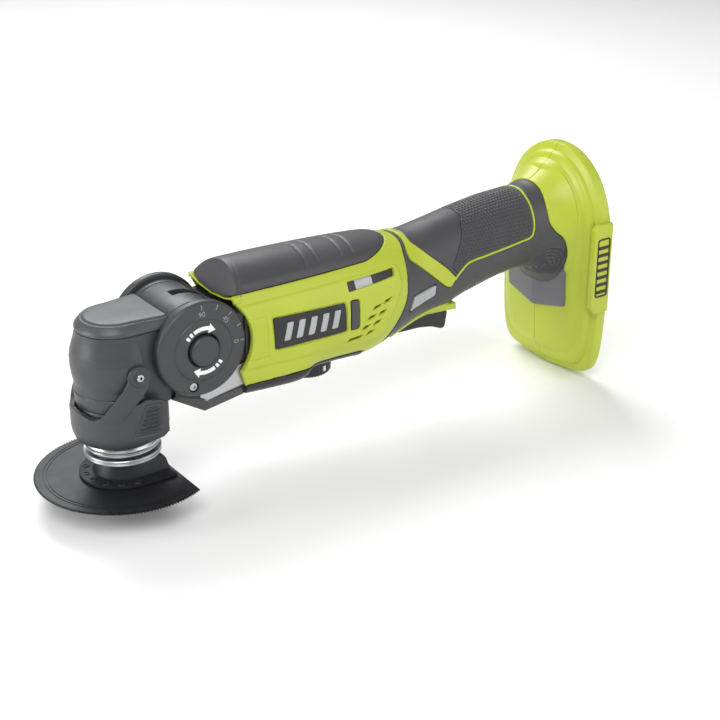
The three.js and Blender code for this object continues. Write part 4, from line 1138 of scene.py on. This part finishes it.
def build_lever():
    quarter = LEVER_R * math.pi / 2
    along, zz = np.meshgrid(np.arange(-48.3, 48.4, 0.42), np.arange(-42.0, 0.6, 0.2))
    turn_by = np.clip(along / LEVER_R, -math.pi / 2, math.pi / 2)
    behind = np.abs(along) - quarter
    points = np.stack([SPINDLE_X - LEVER_R * np.cos(turn_by) + np.maximum(behind, 0),
                       LEVER_R * np.sin(turn_by), zz],
                      axis=2)
    normals = np.stack([-np.cos(turn_by), np.sin(turn_by), 0 * zz], axis=2)

    def place(p):
        front = LEVER_R * np.arctan2(np.abs(p[:, 1]), SPINDLE_X - p[:, 0]) - quarter
        return np.where(p[:, 0] > SPINDLE_X, p[:, 0] - SPINDLE_X, front), p[:, 2]

    def lift(p, d):
        w, z = place(p)
        bulge = 1.35 - 1.75 * np.clip((-34.5 - z) / 7, 0, 1) ** 2
        arm = 0.45 * step_up(inside(LEVER_ARM, w, z), 0.5) * step_up(z + 25.5, 5)
        to_panel = inside(LEVER_PANEL, w, z)
        ribs = 0.5 * np.cos(2 * np.pi * (z + 0.05 * w) / RIB_PITCH) * step_up(to_panel - 1.0, 0.9)
        groove = 0.5 * np.exp(-(to_panel / 0.4) ** 2)
        return bulge + arm + ribs - groove - 0.15 * step_up(to_panel - 0.4, 0.3)

    def depth(p, d):
        """The band reaches further in. Round the pins the arms are flat inside, clear of the head."""
        w, z = place(p)
        flat = LEVER_R / np.cos(np.clip(-w, 0, 9) / LEVER_R) - LEVER_R
        near = step_up(8.0 - np.hypot(w, z - LEVER[2]), 2.0)
        return np.where(z < -24.6, 1.0, -flat * near)

    plate = sheet(points, normals, inside(LEVER_OUTLINE, behind, zz), lift, depth, 0.35)
    lx, lz = LEVER[0], LEVER[2]
    eye = lathe([(2.1, 21.7), (4.6, 21.7), (4.6, 23.4), (4.2, 23.8), (3.3, 23.8), (2.8, 23.3), (2.1, 23.3)],
                "y", center=(lx, lz),
                sides=48, round_by=0.2, closed=True)
    piece("lever_cover", *joined(plate, eye, flipped(eye)), CASTING, "lever", "head_casting",
          ["clamp_lever"])
    for name, side in SIDES:
        screw = lathe([(0, 17.5), (1.9, 17.5), (1.9, 23.7), (1.6, 24.2), (0, 24.3)], "y", center=(lx, lz),
                      sides=48,
                      round_by=0.25)
        screw = carved(screw, star((lx, lz), 0.85, 0.85, 3, 23.4, 26))
        piece(f"lever_screw_{name}", *on_side(screw, side), STEEL, "head", "steel", [f"lever_pin_{name}"])


# ---------------------------------------------------------------- collar, flange, hub and blade

def build_clamp():
    collar = lathe([(7.2, -47.7), (17.0, -47.7), (17.3, -47.2), (17.3, -46.5), (16.7, -46.3), (16.7, -45.9),
                    (17.5, -45.7), (17.7, -44.6), (16.9, -43.2), (7.2, -43.2)], "z", center=(SPINDLE_X, 0),
                   sides=128,
                   round_by=0.2, closed=True)
    piece("collar_cover", *collar, STEEL, "head", "steel", ["bearing_collar"])
    flange = lathe([(5.5, -48.1), (14.5, -48.1), (14.5, -48.7), (17.9, -48.8), (18.3, -49.2), (18.3, -49.9),
                    (17.7, -50.15), (17.7, -50.5), (18.2, -50.8), (18.2, -51.5), (17.4, -52.0),
                    (15.8, -52.2),
                    (5.5, -52.2)], "z", center=(SPINDLE_X, 0), sides=128, round_by=0.15, closed=True)
    piece("flange_cover", *flange, STEEL, "spindle_group", "steel", ["output_flange"])
    base_z = float(node_box("blade_hub")[0][2])

    def hub_ring(z, radius, half, rear):
        front = [(x, y * half / radius) for x, y in arc(radius, 90, 270, 40, (SPINDLE_X, 0))]
        side = [(SPINDLE_X + (rear - SPINDLE_X) * t, -half) for t in np.linspace(0.1, 1, 6)]
        other = [(x, -y) for x, y in reversed(side)]
        return [(x, y, z) for x, y in [*front, *side, *other]]

    levels = [(base_z, 21.0, 20.4, -15.4), (base_z + 0.1, 21.3, 20.8, -15.1),
              (base_z + 1.0, 21.3, 20.8, -15.1),
              (base_z + 1.25, 20.9, 20.4, -15.4), (base_z + 1.3, 15.6, 15.3, -15.6),
              (base_z + 1.8, 14.6, 14.4, -15.8),
              (base_z + 6.6, 13.2, 13.3, -16.8), (base_z + 7.8, 12.6, 12.8, -17.4),
              (base_z + 8.4, 11.8, 12.0, -18.2),
              (base_z + 9.2, 11.2, 11.4, -19)]
    hub = rings_shape([hub_ring(*level) for level in levels])
    bore = rod(5.6, -70, -40, "z", center=(SPINDLE_X, 0), sides=48)
    hollow = rings_shape([hub_ring(base_z + 1.6, 13.2, 13, -8), hub_ring(base_z + 7.0, 11.4, 11.6, -8)])
    hub = carved(hub, bore, hollow)
    welds = []
    for angle in range(96, 265, 24):
        t = math.radians(angle)
        spot = (SPINDLE_X + 18.3 * math.cos(t), 18.0 * math.sin(t))
        welds.append(lathe([(1.05, base_z + 1.1), (1.7, base_z + 1.15), (1.5, base_z + 1.65),
                            (1.1, base_z + 1.6)], "z",
                           center=spot, sides=24, round_by=0.12, closed=True))
    piece("hub_cover", *joined(hub, *welds), BLACK_STEEL, "spindle_group", "black_steel", ["blade_hub"])
    build_blade()


def build_blade():
    low, high = node_box("saw_blade")
    radius = float(SPINDLE_X - low[0])
    cut_x = float(high[0])
    bottom, top = float(low[2]), float(high[2])
    teeth = 112
    reach = math.degrees(math.acos((cut_x - SPINDLE_X) / radius))
    line = []
    for k in range(teeth * 2 + 1):
        t = math.radians(reach + (360 - 2 * reach) * k / (teeth * 2))
        lean = 0.004 if k % 2 else 0.0
        r = radius if k % 2 == 0 else radius - 1.25
        line.append((SPINDLE_X + r * math.cos(t + lean), r * math.sin(t + lean)))
    line[0] = (cut_x, math.sqrt(radius**2 - (cut_x - SPINDLE_X) ** 2))
    line[-1] = (cut_x, -line[0][1])
    plate = slab(line, bottom, top, "z", edge=0)
    bore = rod(6.2, -80, -40, "z", center=(SPINDLE_X, 0), sides=48)
    grooves = []
    for r in (36.4, 38.0):
        grooves.append(slab([*arc(r + 0.25, reach + 6, 354 - reach, 90, (SPINDLE_X, 0)),
                             *arc(r - 0.25, 354 - reach, reach + 6, 90, (SPINDLE_X, 0))], top - 0.25,
                            top + 1, "z",
                            edge=0))
    plate = carved(plate, bore, *grooves)
    piece("blade_cover", *plate, BLACK_STEEL, "spindle_group", "black_steel", ["saw_blade"], sharp=15)


# ---------------------------------------------------------------- pieces kept from the CAD

INNER = {
    STEEL: ["motor_can", "motor_shaft", "eccentric", "eccentric_bearing", "motor_front_bearing",
            "motor_rear_bearing",
            "spindle", "upper_spindle_bearing", "lower_spindle_bearing", "clamp_plunger", "clamp_spring",
            "tilt_pin_left",
            "tilt_pin_right", "trigger_pin"],
    BLACK_STEEL: ["armature_core", *[f"housing_screw_{k}" for k in range(1, 6)]],
    COPPER: ["armature_winding", "oscillation_fork", "terminal_positive", "terminal_negative"],
    FERRITE: ["motor_magnet_upper", "motor_magnet_lower"],
    CARBON: ["brush_left", "brush_right"],
    DARK: ["cooling_fan", "motor_end_cap", "speed_potentiometer", "switch_body", "terminal_block"],
}


def finish_inner():
    for material, names in INNER.items():
        for name in names:
            obj = frame["nodes"][name]
            obj.data.materials.clear()
            obj.data.materials.append(material)
            soft = obj.modifiers.new("soft_edges", "BEVEL")
            soft.width = 0.00015
            soft.segments = 2
            soft.limit_method = "ANGLE"
            soft.angle_limit = math.radians(40)


# ---------------------------------------------------------------- studio

STUDIO_MIDDLE = Vector((0.0, 0.0, 0.06))
LAMPS = [
    ("key", (-0.65, -0.75, 1.15), 0.8, 11), ("fill", (0.7, -1.1, 0.6), 1.0, 5),
    ("rim", (0.25, 0.9, 1.0), 0.7, 11), ("front", (-1.2, 0.35, 0.4), 0.6, 8),
]
CAMERA_AT = Vector((-0.38249, -0.56478, 0.35192))
CAMERA_TARGET = Vector((0.02112, 0.0, 0.03504))
FLOOR_GAP = 0.0005


def aimed(place, target):
    """The rotation that looks from place to target."""
    return (target - Vector(place)).to_track_quat("-Z", "Y").to_euler()


def build_studio():
    floor_mesh = bpy.data.meshes.new("floor")
    size = 6.0
    floor_mesh.from_pydata([(-size, -size, 0), (size, -size, 0), (size, size, 0), (-size, size, 0)], [],
                           [(0, 1, 2, 3)])
    floor = bpy.data.objects.new("floor", floor_mesh)
    floor_mesh.materials.append(principled("floor_paint", (0.93, 0.93, 0.93), 0.6))
    floor.location.z = CAD_BOX[0][2] - FLOOR_GAP
    scene.collection.objects.link(floor)
    world = bpy.data.worlds.new("studio")
    scene.world = world
    world.use_nodes = True
    world.node_tree.nodes["Background"].inputs["Color"].default_value = (1, 1, 1, 1)
    world.node_tree.nodes["Background"].inputs["Strength"].default_value = 0.4
    for name, place, width, power in LAMPS:
        data = bpy.data.lights.new(name, "AREA")
        data.size = width
        data.energy = power
        lamp = bpy.data.objects.new(name, data)
        lamp.location = place
        lamp.rotation_euler = aimed(place, STUDIO_MIDDLE)
        scene.collection.objects.link(lamp)
    data = bpy.data.cameras.new("camera")
    data.lens = 73.5
    data.sensor_width = 36
    data.clip_start = 0.01
    camera = bpy.data.objects.new("camera", data)
    camera.location = CAMERA_AT
    camera.rotation_euler = aimed(CAMERA_AT, CAMERA_TARGET)
    scene.collection.objects.link(camera)
    scene.camera = camera
    scene.view_settings.view_transform = "Standard"


build_studio()
build_shells()
build_shade_sheets()
build_dock_marks()
build_top_grip()
build_handle()
build_badges()
build_skirt()
build_lock_buttons()
build_trigger()
build_speed_wheel()
build_nose()
build_chin()
build_head()
build_cap()
build_dials()
build_lever()
build_clamp()
finish_inner()
